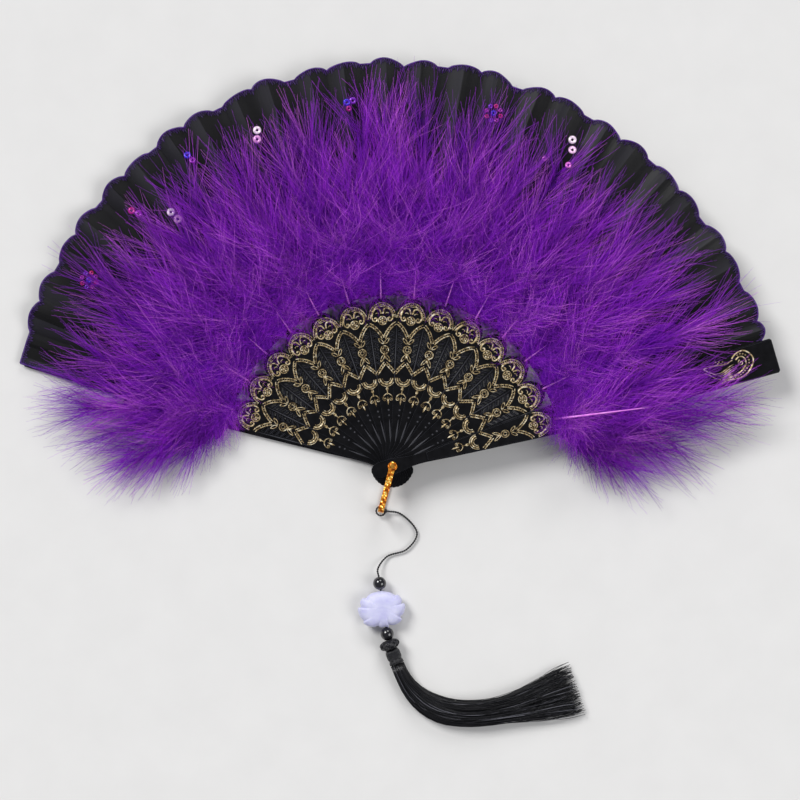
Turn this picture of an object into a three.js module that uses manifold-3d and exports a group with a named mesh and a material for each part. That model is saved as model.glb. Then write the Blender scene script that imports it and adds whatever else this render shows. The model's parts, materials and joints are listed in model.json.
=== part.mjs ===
import * as THREE from 'three';
import { mergeVertices } from 'three/addons/utils/BufferGeometryUtils.js';
import Module from 'manifold-3d';

const wasm = await Module();
wasm.setup();

// A folding feather fan, lying open on its back guard.
// Sizes are in millimetres and angles in degrees. The pivot is the Z axis, and Z is up.
// The back guard's outer face and the rivet's rear face lie in the plane Z = 0.

// The open fan, counted from the front guard on the right to the last stick on the left
const stickCount = 13;
const openPitchAngle = 11.1;
const frontGuardAngle = 16.2;
const backGuardLapAngle = 1.8;

// The stack at the pivot
const stickThick = 1.0;
const stackGap = 0.12;
const guardThick = 2.4;
const guardHeadThick = 1.2;
const pinRadius = 1.3;
const pinClearance = 0.07;
const rivetHeadRadius = 1.9;
const rivetHeadThick = 0.4;
const bailClearance = 0.1;
const headClearance = 0.06;
const pinEndDepth = 0.1;

// One stick: tail, waist, rib, pierced gorge with its medallion, and the slip that carries the leaf
const tailLength = 12;
const headHalfWidth = 4.4;
const waistAt = 14;
const waistHalfWidth = 2.8;
const ribAt = 36;
const ribHalfWidth = 4.4;
const medallionAt = 84;
const medallionHalfWidth = 8.2;
const gorgeTop = 93.5;
const slipTop = 211;
const slipHalfWidth = 2.4;
const slipThick = 0.5;

// Slanted slots pierced on both sides of the gorge
const slotRows = 6;
const slotsFrom = 57.5;
const slotsTo = 72.5;
const slotWidth = 1.1;
const slotLean = 1.6;
const slotInner = 3.1;
const slotRim = 1.3;

// A guard: the same head, then a plain blade with a raised outer panel
const guardTip = 220;
const guardGorgeHalfWidth = 8.3;
const guardTipHalfWidth = 9.7;
const guardPanelFrom = 20;
const guardPanelInset = 0.6;
const guardCornerSize = 1;
const backGuardInset = 2;

// The pleated leaf
const leafClearance = 0.8;
const leafReachMiddle = 222;
const leafReachEnd = 215;
const leafThick = 0.25;
const leafGap = 0.15;
const leafSeam = 0.15;
const leafFlatMargin = 0.6;
const pleatLeastWidth = 1;
const leafEndInset = 1;
const leafEndTurnWidth = 2;
const foldSlope = 0.18;
const scallopDepth = 3;

// The plumes
const quillInset = 0.7;
const plumeTip = 205;
const plumeGap = 0.3;
const plumeLoft = 7.5;
const plumeEdge = 0.8;
const quillHalfWidth = 0.7;
const tuftDepth = 6;
const tipRoundDepth = 16;
const endSpreadAngle = 17;

// The bail, a hammered strip bent round the stack
const bailAngle = -104.6;
const bailReach = 26.4;
const bailWidth = 3.3;
const bailThick = 0.64;
const bailBendRadius = 3;
const bailEyeRadius = 2.6;

// The cord, the beads and the lotus
const cordRadius = 0.6;
const cordRestHeight = 1.2;
const cordShoulderWidth = 11.2;
const cordShoulderDrop = 1.7;
const cordBowWidth = 20.2;
const cordBowDrop = 12.4;
const cordBackWidth = 14.5;
const cordBackDrop = 21.4;
const cordTurnWidth = 3.4;
const cordTurnDrop = 25.5;
const knotRingRadius = 2.5;
const knotHeight = 2.6;
const beadRadius = 3.7;
const boreRadius = 1.0;
const stringHeight = 5.2;
const stringShift = -1.1;
const stringDrop = 36.4;
const stringLead = 4;
const stringAngle = -81.66;
const beadGap = 0.3;
const lotusHalfHeight = 10.2;
const lotusHalfWidth = 13.2;
const lotusHalfThick = 4.8;
const petalReach = 1.1;

// The tassel
const tasselKnotRadius = 5.8;
const tasselKnotHeight = 4.4;
const tasselHeadRadius = 4.2;
const tasselHeadLength = 9;
const tasselAngle = -68.84;
const knotRestGap = 0.1;
const headRestGap = 0.4;
const skirtRestGap = 0.15;
const skirtAcross = 100.8;
const skirtDrop = 13.2;
const skirtStartPull = 40;
const skirtEndPull = 55;
const skirtEndAngle = 19;
const skirtFlutes = 10;
const skirtEndHalfWidth = 15.5;
const skirtMiddleHalfHeight = 4.6;
const skirtEndHalfHeight = 2.6;

const pitch = THREE.MathUtils.degToRad(openPitchAngle);
const fan = new THREE.Group();
fan.name = 'feather_fan';

function finish(color, roughness, metalness) {
  return new THREE.MeshStandardMaterial({ color, roughness, metalness });
}

const blackPlastic = finish(0x16161a, 0.3, 0);
const guardPlastic = finish(0x1a1a1e, 0.28, 0);
const organza = finish(0x1c1a22, 0.6, 0);
const feather = finish(0x5c1896, 0.85, 0);
const gold = finish(0xd99a2b, 0.3, 1);
const steel = finish(0x8f8a80, 0.35, 1);
const silkCord = finish(0x121214, 0.7, 0);
const blackGlass = finish(0x0c0c10, 0.12, 0);
const lilacResin = finish(0xc9c8ea, 0.25, 0);
const silkThread = finish(0x101013, 0.65, 0);

function add(name, geometry, material) {
  const mesh = new THREE.Mesh(geometry, material);
  mesh.name = name;
  fan.add(mesh);
  return mesh;
}

function numbered(name, i) {
  return `${name}_${String(i).padStart(2, '0')}`;
}

// Solids that are joined or cut
function toSolid(geometry) {
  const bare = geometry.index ? geometry.toNonIndexed() : geometry.clone();
  bare.deleteAttribute('normal');
  bare.deleteAttribute('uv');
  const welded = mergeVertices(bare, 1e-4);
  return new wasm.Manifold(new wasm.Mesh({
    numProp: 3,
    vertProperties: new Float32Array(welded.attributes.position.array),
    triVerts: new Uint32Array(welded.index.array),
  }));
}

function toGeometry(solid) {
  const mesh = solid.getMesh();
  const geometry = new THREE.BufferGeometry();
  geometry.setAttribute('position', new THREE.BufferAttribute(mesh.vertProperties, 3));
  geometry.setIndex(new THREE.BufferAttribute(mesh.triVerts, 1));
  geometry.computeVertexNormals();
  return geometry;
}

// A closed skin round two facing grids of points, with the top seen counter-clockwise from above
function skinned(rows, columns, topPoint, bottomPoint) {
  const points = [];
  const faces = [];
  for (const pointAt of [topPoint, bottomPoint]) {
    for (let r = 0; r <= rows; r += 1) {
      for (let c = 0; c <= columns; c += 1) {
        const p = pointAt(r / rows, c / columns, c);
        points.push(p.x, p.y, p.z);
      }
    }
  }
  const stride = columns + 1;
  const below = (rows + 1) * stride;
  const quad = (a, b, c, d) => faces.push(a, b, c, a, c, d);
  for (let r = 0; r < rows; r += 1) {
    for (let c = 0; c < columns; c += 1) {
      const a = r * stride + c;
      quad(a, a + stride, a + stride + 1, a + 1);
      quad(below + a, below + a + 1, below + a + stride + 1, below + a + stride);
    }
  }
  for (let r = 0; r < rows; r += 1) {
    const near = r * stride;
    const far = near + columns;
    quad(near, below + near, below + near + stride, near + stride);
    quad(far, far + stride, below + far + stride, below + far);
  }
  for (let c = 0; c < columns; c += 1) {
    const last = rows * stride + c;
    quad(c, c + 1, below + c + 1, below + c);
    quad(last, below + last, below + last + 1, last + 1);
  }
  const geometry = new THREE.BufferGeometry();
  geometry.setAttribute('position', new THREE.Float32BufferAttribute(points, 3));
  geometry.setIndex(faces);
  geometry.computeVertexNormals();
  return geometry;
}

// Where each stick lies; number 0 is the front guard
function angleOf(i) {
  return THREE.MathUtils.degToRad(frontGuardAngle) + pitch * i;
}

function levelOf(i) {
  return guardThick + stackGap + (stickCount - i) * (stickThick + stackGap);
}

const backGuardAngle = angleOf(stickCount) + THREE.MathUtils.degToRad(backGuardLapAngle);
const frontGuardTop = levelOf(0) + guardThick;
const frontHeadTop = levelOf(0) + guardHeadThick;

const backGuardTip = leafReachEnd - backGuardInset;
const leafInner = gorgeTop + leafClearance;
const plumeFrom = leafInner + quillInset;

function onFan(r, angle, z) {
  return new THREE.Vector3(r * Math.cos(angle), r * Math.sin(angle), z);
}

// Half of an outline is drawn on the +Y side, from the tail to the tip, and mirrored
function mirroredShape(side, divisions) {
  const points = side.getPoints(divisions);
  const back = points.slice(1, -1).reverse();
  return new THREE.Shape([...points.map((p) => new THREE.Vector2(p.x, -p.y)), ...back]);
}

function headSide(ribEnd, ribEndHalfWidth) {
  const side = new THREE.Path();
  const cheek = -tailLength * 0.45;
  side.moveTo(-tailLength, 0);
  side.bezierCurveTo(-tailLength, headHalfWidth * 0.7, cheek * 1.6, headHalfWidth, cheek, headHalfWidth);
  side.bezierCurveTo(waistAt * 0.45, headHalfWidth, waistAt * 0.5, waistHalfWidth, waistAt, waistHalfWidth);
  const third = (ribEnd - waistAt) / 3;
  side.bezierCurveTo(
    waistAt + third, waistHalfWidth,
    ribEnd - third, ribEndHalfWidth * 0.9,
    ribEnd, ribEndHalfWidth,
  );
  return side;
}

function ring(radius, sides) {
  const points = [];
  for (let k = 0; k < sides; k += 1) {
    const turn = (k / sides) * Math.PI * 2;
    points.push(new THREE.Vector2(radius * Math.cos(turn), radius * Math.sin(turn)));
  }
  return points;
}

// Corner radius of a many-sided hole that clears the pin all round
function holeRadius(sides) {
  return (pinRadius + pinClearance) / Math.cos(Math.PI / sides);
}

function pivotHole() {
  return new THREE.Path(ring(holeRadius(12), 12));
}

function plate(shape, depth) {
  return new THREE.ExtrudeGeometry(shape, { depth, bevelEnabled: false });
}

function gorgeHalfWidth(r) {
  const along = (r - ribAt) / (medallionAt - ribAt);
  return THREE.MathUtils.lerp(ribHalfWidth, medallionHalfWidth, along);
}

// One pierced stick along +X, lying on Z = 0
function stickGeometry() {
  const side = headSide(ribAt, ribHalfWidth);
  const crown = gorgeTop - medallionAt;
  side.lineTo(medallionAt, medallionHalfWidth);
  side.bezierCurveTo(
    medallionAt + crown * 0.45, medallionHalfWidth * 1.03,
    medallionAt + crown * 0.6, medallionHalfWidth * 0.85,
    medallionAt + crown * 0.72, medallionHalfWidth * 0.66,
  );
  side.bezierCurveTo(
    medallionAt + crown * 0.95, medallionHalfWidth * 0.6,
    gorgeTop, medallionHalfWidth * 0.3,
    gorgeTop, 0,
  );
  const gorge = mirroredShape(side, 4);
  gorge.holes.push(pivotHole());
  let body = toSolid(plate(gorge, stickThick));
  const step = (slotsTo - slotsFrom) / (slotRows - 1);
  for (let row = 0; row < slotRows; row += 1) {
    const at = slotsFrom + step * row;
    const outer = gorgeHalfWidth(at + slotLean) - slotRim;
    for (const hand of [-1, 1]) {
      const slot = new THREE.Shape([
        new THREE.Vector2(at, hand * slotInner),
        new THREE.Vector2(at + slotWidth, hand * slotInner),
        new THREE.Vector2(at + slotWidth + slotLean, hand * outer),
        new THREE.Vector2(at + slotLean, hand * outer),
      ]);
      body = body.subtract(toSolid(plate(slot, stickThick * 3).translate(0, 0, -stickThick)));
    }
  }
  const slip = new THREE.Path();
  const slipFrom = medallionAt + crown * 0.3;
  slip.moveTo(slipFrom, 0);
  slip.lineTo(slipFrom, slipHalfWidth);
  slip.lineTo(slipTop - slipHalfWidth, slipHalfWidth * 0.75);
  slip.bezierCurveTo(slipTop, slipHalfWidth * 0.7, slipTop, slipHalfWidth * 0.3, slipTop, 0);
  return toGeometry(body.add(toSolid(plate(mirroredShape(slip, 3), slipThick))));
}

function guardHalfWidth(r) {
  const along = (r - gorgeTop) / (guardTip - gorgeTop);
  return THREE.MathUtils.lerp(guardGorgeHalfWidth, guardTipHalfWidth, along);
}

// One guard along +X, inner face on Z = 0 and raised panel facing +Z
function guardGeometry(tip) {
  const tipHalfWidth = guardHalfWidth(tip);
  const side = headSide(ribAt, ribHalfWidth);
  side.lineTo(gorgeTop, guardGorgeHalfWidth);
  side.lineTo(tip - guardCornerSize, tipHalfWidth);
  side.lineTo(tip, tipHalfWidth - guardCornerSize);
  side.lineTo(tip, 0);
  const blade = mirroredShape(side, 5);
  blade.holes.push(pivotHole());
  const panel = new THREE.Path();
  panel.moveTo(guardPanelFrom, 0);
  panel.lineTo(guardPanelFrom, waistHalfWidth - guardPanelInset);
  panel.lineTo(ribAt, ribHalfWidth - guardPanelInset);
  panel.lineTo(gorgeTop, guardGorgeHalfWidth - guardPanelInset);
  const panelTip = tip - guardPanelInset;
  const panelTipHalfWidth = tipHalfWidth - guardPanelInset;
  panel.lineTo(panelTip - guardCornerSize, panelTipHalfWidth);
  panel.lineTo(panelTip, panelTipHalfWidth - guardCornerSize);
  panel.lineTo(panelTip, 0);
  const body = toSolid(plate(blade, guardHeadThick));
  return toGeometry(body.add(toSolid(plate(mirroredShape(panel, 1), guardThick))));
}

const stick = stickGeometry();
for (let i = 1; i <= stickCount; i += 1) {
  const mesh = add(numbered('stick', i), stick, blackPlastic);
  mesh.rotation.z = angleOf(i);
  mesh.position.z = levelOf(i);
}

const frontGuard = add('front_guard', guardGeometry(guardTip), guardPlastic);
frontGuard.rotation.z = angleOf(0);
frontGuard.position.z = levelOf(0);
// The back guard stops under the leaf's edge
const backGuard = add('back_guard', guardGeometry(backGuardTip).rotateX(Math.PI), guardPlastic);
backGuard.rotation.z = backGuardAngle;
backGuard.position.z = guardThick;

// The leaf rests on the slips and runs under the front guard
function leafRest(i) {
  return i === 0 ? levelOf(0) - leafGap - leafThick : levelOf(i) + slipThick + leafGap;
}

function leafFlatWidth(i, r) {
  return leafFlatMargin + (i === 0 ? guardHalfWidth(r) : slipHalfWidth);
}

function leafFree(i, r) {
  return Math.max(pitch * r - leafFlatWidth(i, r) - leafFlatWidth(i + 1, r), pleatLeastWidth);
}

// The ridge of a pleat stands halfway between its sticks; this is its place across the free width
function ridgeAt(i, r) {
  return THREE.MathUtils.clamp((pitch * r / 2 - leafFlatWidth(i, r)) / leafFree(i, r), 0.1, 0.9);
}

// Underside of the leaf in the pleat after stick i, at a fraction f of the way across its free width
function pleatHeight(i, r, f) {
  const ridge = ridgeAt(i, r);
  const rise = foldSlope * leafFree(i, r) * Math.min(ridge, 1 - ridge);
  const base = THREE.MathUtils.lerp(leafRest(i), leafRest(i + 1), f);
  return base + rise * Math.min(f / ridge, (1 - f) / (1 - ridge));
}

function leafBottom(r, angle) {
  const place = THREE.MathUtils.clamp((angle - angleOf(0)) / pitch, 0, stickCount);
  const i = Math.min(Math.floor(place), stickCount - 1);
  const across = (place - i) * pitch * r - leafFlatWidth(i, r);
  return pleatHeight(i, r, THREE.MathUtils.clamp(across / leafFree(i, r), 0, 1));
}

function leafReach(angle) {
  const span = THREE.MathUtils.clamp((angle - angleOf(0)) / (pitch * stickCount), 0, 1);
  return THREE.MathUtils.lerp(leafReachEnd, leafReachMiddle, Math.sin(Math.PI * span));
}

// One pleat from stick i to stick i + 1, with a ridge in the middle and a scallop on each half
function leafPleat(i) {
  const half = 3;
  const columns = 2 * half + 2;
  const place = (down, across, column, lift) => {
    const turn = THREE.MathUtils.clamp((column - 1) / half, 0, 2);
    const edge = leafReach(angleOf(i) + pitch * turn / 2) + scallopDepth * Math.abs(Math.sin(Math.PI * turn));
    const r = THREE.MathUtils.lerp(leafInner, edge, down);
    const ridge = ridgeAt(i, r);
    const f = turn < 1 ? ridge * turn : ridge + (1 - ridge) * (turn - 1);
    let offset = leafFlatWidth(i, r) + f * leafFree(i, r);
    if (column === 0) {
      offset = leafSeam;
    }
    if (column === columns) {
      offset = pitch * r - leafSeam;
    }
    return onFan(r, angleOf(i) + offset / r, pleatHeight(i, r, f) + lift);
  };
  return skinned(3, columns, (d, a, c) => place(d, a, c, leafThick), (d, a, c) => place(d, a, c, 0));
}

for (let i = 0; i < stickCount; i += 1) {
  add(numbered('leaf', i + 1), leafPleat(i), organza);
}

// The leaf's end is turned down onto the back guard
function leafEndGeometry() {
  const columns = 4;
  const place = (down, across, column, lift) => {
    const r = THREE.MathUtils.lerp(leafInner, leafReachEnd, down);
    const lap = backGuardAngle - angleOf(stickCount);
    const edge = lap * r + guardHalfWidth(r) - leafEndInset;
    const turn = slipHalfWidth + leafFlatMargin;
    const foot = turn + leafEndTurnWidth;
    const offsets = [leafSeam, turn, foot, (foot + edge) / 2, edge];
    const z = column < 2 ? leafRest(stickCount) : guardThick + leafGap;
    return onFan(r, angleOf(stickCount) + offsets[column] / r, z + lift);
  };
  return skinned(3, columns, (d, a, c) => place(d, a, c, leafThick), (d, a, c) => place(d, a, c, 0));
}

add('leaf_end', leafEndGeometry(), organza);

// One plume in its own sector, from the quill to the tufted tip
function plumeGeometry(i) {
  const rows = 6;
  const columns = 6;
  const spread = THREE.MathUtils.degToRad(endSpreadAngle);
  const rightLimit = (r) => (i === 0 ? spread * r : pitch * r / 2 - plumeGap / 2);
  const leftLimit = (r) => (i === stickCount ? spread * r : pitch * r / 2 - plumeGap / 2);
  const seat = (r, angle) => {
    const onLeaf = leafBottom(r, angle) + leafThick + plumeGap;
    return i === 0 ? Math.max(onLeaf, frontGuardTop + plumeGap) : onLeaf;
  };
  const place = (down, across, column, top) => {
    const t = down ** 1.5;
    const u = 2 * across - 1;
    const tip = plumeTip - tipRoundDepth * u * u - (column % 2 ? tuftDepth : 0);
    const r = THREE.MathUtils.lerp(plumeFrom, tip, t);
    const open = THREE.MathUtils.smoothstep(t, 0.04, 0.24);
    const close = 1 - 0.3 * THREE.MathUtils.smoothstep(t, 0.7, 1);
    const limit = u > 0 ? leftLimit(r) : rightLimit(r);
    const offset = u * THREE.MathUtils.lerp(quillHalfWidth, limit * close, open);
    const angle = angleOf(i) + offset / r;
    const bottom = seat(r, angle);
    const loft = plumeLoft * Math.sin(Math.PI * Math.min(1, 0.06 + 0.9 * t)) * open;
    const dome = plumeEdge + loft * (1 - u * u);
    return onFan(r, angle, bottom + (top ? dome : 0));
  };
  return skinned(rows, columns, (d, a, c) => place(d, a, c, true), (d, a, c) => place(d, a, c, false));
}

add('plume_guard', plumeGeometry(0), feather);
for (let i = 1; i <= stickCount; i += 1) {
  add(numbered('plume', i), plumeGeometry(i), feather);
}

// The rivet through the stack and the cap on its front end
function turned(profile, segments) {
  const points = profile.map(([r, z]) => new THREE.Vector2(r, z));
  return new THREE.LatheGeometry(points, segments).rotateX(Math.PI / 2);
}

const bailFrontTop = frontHeadTop + bailClearance + bailThick;
const capFrom = bailFrontTop + headClearance;
const capTo = Math.max(frontGuardTop, capFrom + rivetHeadThick);
add('rivet', turned([
  [0, 0],
  [rivetHeadRadius, 0],
  [rivetHeadRadius, rivetHeadThick],
  [pinRadius, rivetHeadThick],
  [pinRadius, capTo - pinEndDepth],
  [0, capTo - pinEndDepth],
], 16), steel);
add('rivet_cap', turned([
  [holeRadius(16), capFrom],
  [rivetHeadRadius, capFrom],
  [rivetHeadRadius, capTo],
  [holeRadius(16), capTo],
  [holeRadius(16), capFrom],
], 16), steel);

// The bail: a U seen from the side, with an eye at the end of each arm
function bailGeometry() {
  const low = rivetHeadThick + headClearance;
  const high = bailFrontTop;
  const bend = bailReach - bailBendRadius;
  const slim = bailBendRadius - bailThick;
  const strip = new THREE.Shape();
  strip.moveTo(0, low);
  strip.lineTo(bend, low);
  strip.absarc(bend, low + bailBendRadius, bailBendRadius, -Math.PI / 2, 0);
  strip.lineTo(bailReach, high - bailBendRadius);
  strip.absarc(bend, high - bailBendRadius, bailBendRadius, 0, Math.PI / 2);
  strip.lineTo(0, high);
  strip.lineTo(0, high - bailThick);
  strip.lineTo(bend, high - bailThick);
  strip.absarc(bend, high - bailBendRadius, slim, Math.PI / 2, 0, true);
  strip.lineTo(bailReach - bailThick, low + bailBendRadius);
  strip.absarc(bend, low + bailBendRadius, slim, 0, -Math.PI / 2, true);
  strip.lineTo(0, low + bailThick);
  strip.closePath();
  const options = { depth: bailWidth, bevelEnabled: false, curveSegments: 4 };
  const bent = new THREE.ExtrudeGeometry(strip, options);
  bent.rotateX(Math.PI / 2);
  bent.translate(0, bailWidth / 2, 0);
  const disc = (radius, height, z) => {
    const cylinder = new THREE.CylinderGeometry(radius, radius, height, 16);
    return toSolid(cylinder.rotateX(Math.PI / 2).translate(0, 0, z));
  };
  const eyes = disc(bailEyeRadius, bailThick, low + bailThick / 2)
    .add(disc(bailEyeRadius, bailThick, high - bailThick / 2));
  const bore = disc(holeRadius(16), high * 3, 0);
  return toGeometry(toSolid(bent).add(eyes).subtract(bore));
}

const bail = add('bail', bailGeometry(), gold);
bail.rotation.z = THREE.MathUtils.degToRad(bailAngle);

// The cord lies on the table in a loose bow, then runs straight through the beads and the lotus
const bailDirection = onFan(1, THREE.MathUtils.degToRad(bailAngle), 0);
const ringCentre = bailDirection.clone().multiplyScalar(bailReach - bailThick / 2).setZ(knotHeight);
const cordKnot = new THREE.TorusGeometry(knotRingRadius, cordRadius, 6, 14);
add('cord_knot', cordKnot.translate(ringCentre.x, ringCentre.y, ringCentre.z), silkCord);

const stringTop = new THREE.Vector3(ringCentre.x + stringShift, ringCentre.y - stringDrop, stringHeight);
const stringWay = onFan(1, THREE.MathUtils.degToRad(stringAngle), 0);
function onString(distance) {
  return stringTop.clone().addScaledVector(stringWay, distance);
}

const lotusAt = 2 * beadRadius + beadGap + lotusHalfHeight;
const lowerBeadAt = lotusAt + lotusHalfHeight + beadGap + beadRadius;
const tasselKnotAt = lowerBeadAt + beadRadius + beadGap;
const cordEnd = tasselKnotAt - beadGap / 2;
const cordStart = ringCentre.x + knotRingRadius + cordRadius + beadGap / 2;
function onTable(across, drop) {
  return new THREE.Vector3(ringCentre.x + across, ringCentre.y - drop, cordRestHeight);
}

const cordRoute = new THREE.CatmullRomCurve3([
  new THREE.Vector3(cordStart, ringCentre.y, knotHeight),
  onTable(cordShoulderWidth, cordShoulderDrop),
  onTable(cordBowWidth, cordBowDrop),
  onTable(cordBackWidth, cordBackDrop),
  onTable(cordTurnWidth, cordTurnDrop),
  onString(-stringLead).setZ(stringHeight * 0.7),
  onString(0),
  onString(lotusAt),
  onString(cordEnd),
]);
add('cord', new THREE.ExtrudeGeometry(new THREE.Shape(ring(cordRadius, 8)), {
  steps: 34,
  bevelEnabled: false,
  extrudePath: cordRoute,
}), silkCord);

// Pieces strung on the cord are turned about its line
function strung(geometry, distance) {
  const turn = new THREE.Quaternion().setFromUnitVectors(new THREE.Vector3(0, 0, 1), stringWay);
  const at = onString(distance);
  return geometry.applyQuaternion(turn).translate(at.x, at.y, at.z);
}

function beadGeometry() {
  const profile = [];
  const steps = 6;
  const mouth = Math.asin(boreRadius / beadRadius);
  for (let k = 0; k <= steps; k += 1) {
    const turn = THREE.MathUtils.lerp(mouth, Math.PI - mouth, k / steps);
    profile.push([beadRadius * Math.sin(turn), -beadRadius * Math.cos(turn)]);
  }
  profile.push([...profile[0]]);
  return turned(profile, 12);
}

add('bead_upper', strung(beadGeometry(), beadRadius), blackGlass);
add('bead_lower', strung(beadGeometry(), lowerBeadAt), blackGlass);

// The lotus: an oval bud with shallow petals round its rim and a point at each end, bored for the cord
function petal(length, width, thick, lean, x, y) {
  const profile = [[0, -1], [0.66, -0.7], [1, -0.1], [0.9, 0.42], [0.5, 0.84], [0, 1]];
  const shape = turned(profile, 8).rotateX(-Math.PI / 2);
  shape.scale(width, length, thick);
  return toSolid(shape.rotateZ(THREE.MathUtils.degToRad(lean)).translate(x, y, 0));
}

function lotusGeometry() {
  const h = lotusHalfHeight;
  const w = lotusHalfWidth;
  const d = lotusHalfThick;
  const budHalfHeight = h - petalReach;
  const budHalfWidth = w - petalReach;
  let flower = toSolid(new THREE.SphereGeometry(1, 14, 9).scale(budHalfWidth, budHalfHeight, d));
  for (const lean of [27, 63, 97, 133]) {
    for (const hand of [-1, 1]) {
      const turn = THREE.MathUtils.degToRad(hand * lean);
      const rim = 1 / Math.hypot(Math.sin(turn) / budHalfWidth, Math.cos(turn) / budHalfHeight);
      const length = rim / 2 + petalReach;
      const spot = [-Math.sin(turn) * rim / 2, Math.cos(turn) * rim / 2];
      flower = flower.add(petal(length, w * 0.36, d * 0.8, hand * lean, ...spot));
    }
  }
  flower = flower.add(petal(h * 0.45, w * 0.24, d * 0.6, 0, 0, h * 0.55));
  flower = flower.add(petal(h * 0.45, w * 0.24, d * 0.6, 180, 0, -h * 0.55));
  const bore = new THREE.CylinderGeometry(boreRadius, boreRadius, h * 3, 12);
  return toGeometry(flower.subtract(toSolid(bore)));
}

const lotusTurn = Math.atan2(-stringWay.y, -stringWay.x) - Math.PI / 2;
const lotusSpot = onString(lotusAt);
const lotus = lotusGeometry().rotateZ(lotusTurn).translate(lotusSpot.x, lotusSpot.y, lotusSpot.z);
add('lotus', lotus, lilacResin);

// The tassel: a button knot, a bound head and the skirt of thread lying in a curve
const buttonProfile = [];
for (let k = 0; k <= 6; k += 1) {
  const turn = (k / 6) * Math.PI;
  const r = tasselKnotRadius * Math.sin(turn) ** 0.6;
  buttonProfile.push([k === 6 ? 0 : r, tasselKnotHeight / 2 * (1 - Math.cos(turn))]);
}
const tasselTilt = onFan(1, THREE.MathUtils.degToRad(tasselAngle), 0);
const knotSpot = onString(tasselKnotAt).setZ(tasselKnotRadius + knotRestGap);
function hung(geometry, spot) {
  const turn = new THREE.Quaternion().setFromUnitVectors(new THREE.Vector3(0, 0, 1), tasselTilt);
  return geometry.applyQuaternion(turn).translate(spot.x, spot.y, spot.z);
}
add('tassel_knot', hung(turned(buttonProfile, 14), knotSpot), silkThread);

const headProfile = [
  [0, 0],
  [tasselHeadRadius * 0.7, 0],
  [tasselHeadRadius, tasselHeadLength * 0.22],
  [tasselHeadRadius, tasselHeadLength * 0.55],
  [tasselHeadRadius * 0.84, tasselHeadLength * 0.64],
  [tasselHeadRadius * 0.84, tasselHeadLength * 0.84],
  [tasselHeadRadius, tasselHeadLength * 0.92],
  [tasselHeadRadius, tasselHeadLength],
  [0, tasselHeadLength],
];
const headSpot = knotSpot.clone().addScaledVector(tasselTilt, tasselKnotHeight + beadGap);
headSpot.setZ(tasselHeadRadius + headRestGap);
add('tassel_head', hung(turned(headProfile, 14), headSpot), silkThread);

// The middle line of the skirt, seen from above
const skirtTop = headSpot.clone().addScaledVector(tasselTilt, tasselHeadLength + beadGap).setZ(0);
const skirtEnd = new THREE.Vector3(skirtTop.x + skirtAcross, skirtTop.y - skirtDrop, 0);
const skirtRoute = new THREE.CubicBezierCurve3(
  skirtTop,
  skirtTop.clone().addScaledVector(tasselTilt, skirtStartPull),
  skirtEnd.clone().sub(onFan(skirtEndPull, THREE.MathUtils.degToRad(skirtEndAngle), 0)),
  skirtEnd,
);

function skirtGeometry() {
  const rows = 10;
  const around = skirtFlutes * 2;
  const points = [];
  const faces = [];
  for (let row = 0; row <= rows; row += 1) {
    const t = row / rows;
    const spot = skirtRoute.getPointAt(t);
    const way = skirtRoute.getTangentAt(t);
    const swell = THREE.MathUtils.smoothstep(t, 0, 0.35);
    const flare = THREE.MathUtils.smoothstep(t, 0.55, 1);
    const middle = tasselHeadRadius * (1 + 0.85 * swell);
    const half = middle + (skirtEndHalfWidth - tasselHeadRadius * 1.85) * flare;
    const full = THREE.MathUtils.lerp(tasselHeadRadius * 0.95, skirtMiddleHalfHeight, swell);
    const high = THREE.MathUtils.lerp(full, skirtEndHalfHeight, flare);
    for (let k = 0; k < around; k += 1) {
      const turn = (k / around) * Math.PI * 2;
      const flute = k % 2 ? 1 - 0.1 * swell : 1;
      const side = half * Math.cos(turn) * flute;
      const lift = high * (1 + Math.sin(turn) * flute) + skirtRestGap;
      points.push(spot.x - way.y * side, spot.y + way.x * side, lift);
    }
  }
  for (let row = 0; row < rows; row += 1) {
    for (let k = 0; k < around; k += 1) {
      const a = row * around + k;
      const b = row * around + ((k + 1) % around);
      faces.push(a, b, b + around, a, b + around, a + around);
    }
  }
  const last = rows * around;
  for (let k = 1; k < around - 1; k += 1) {
    faces.push(0, k + 1, k, last, last + k, last + k + 1);
  }
  const geometry = new THREE.BufferGeometry();
  geometry.setAttribute('position', new THREE.Float32BufferAttribute(points, 3));
  geometry.setIndex(faces);
  geometry.computeVertexNormals();
  return geometry;
}

add('tassel_skirt', skirtGeometry(), silkThread);

export default fan;
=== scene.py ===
import json
import math

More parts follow.
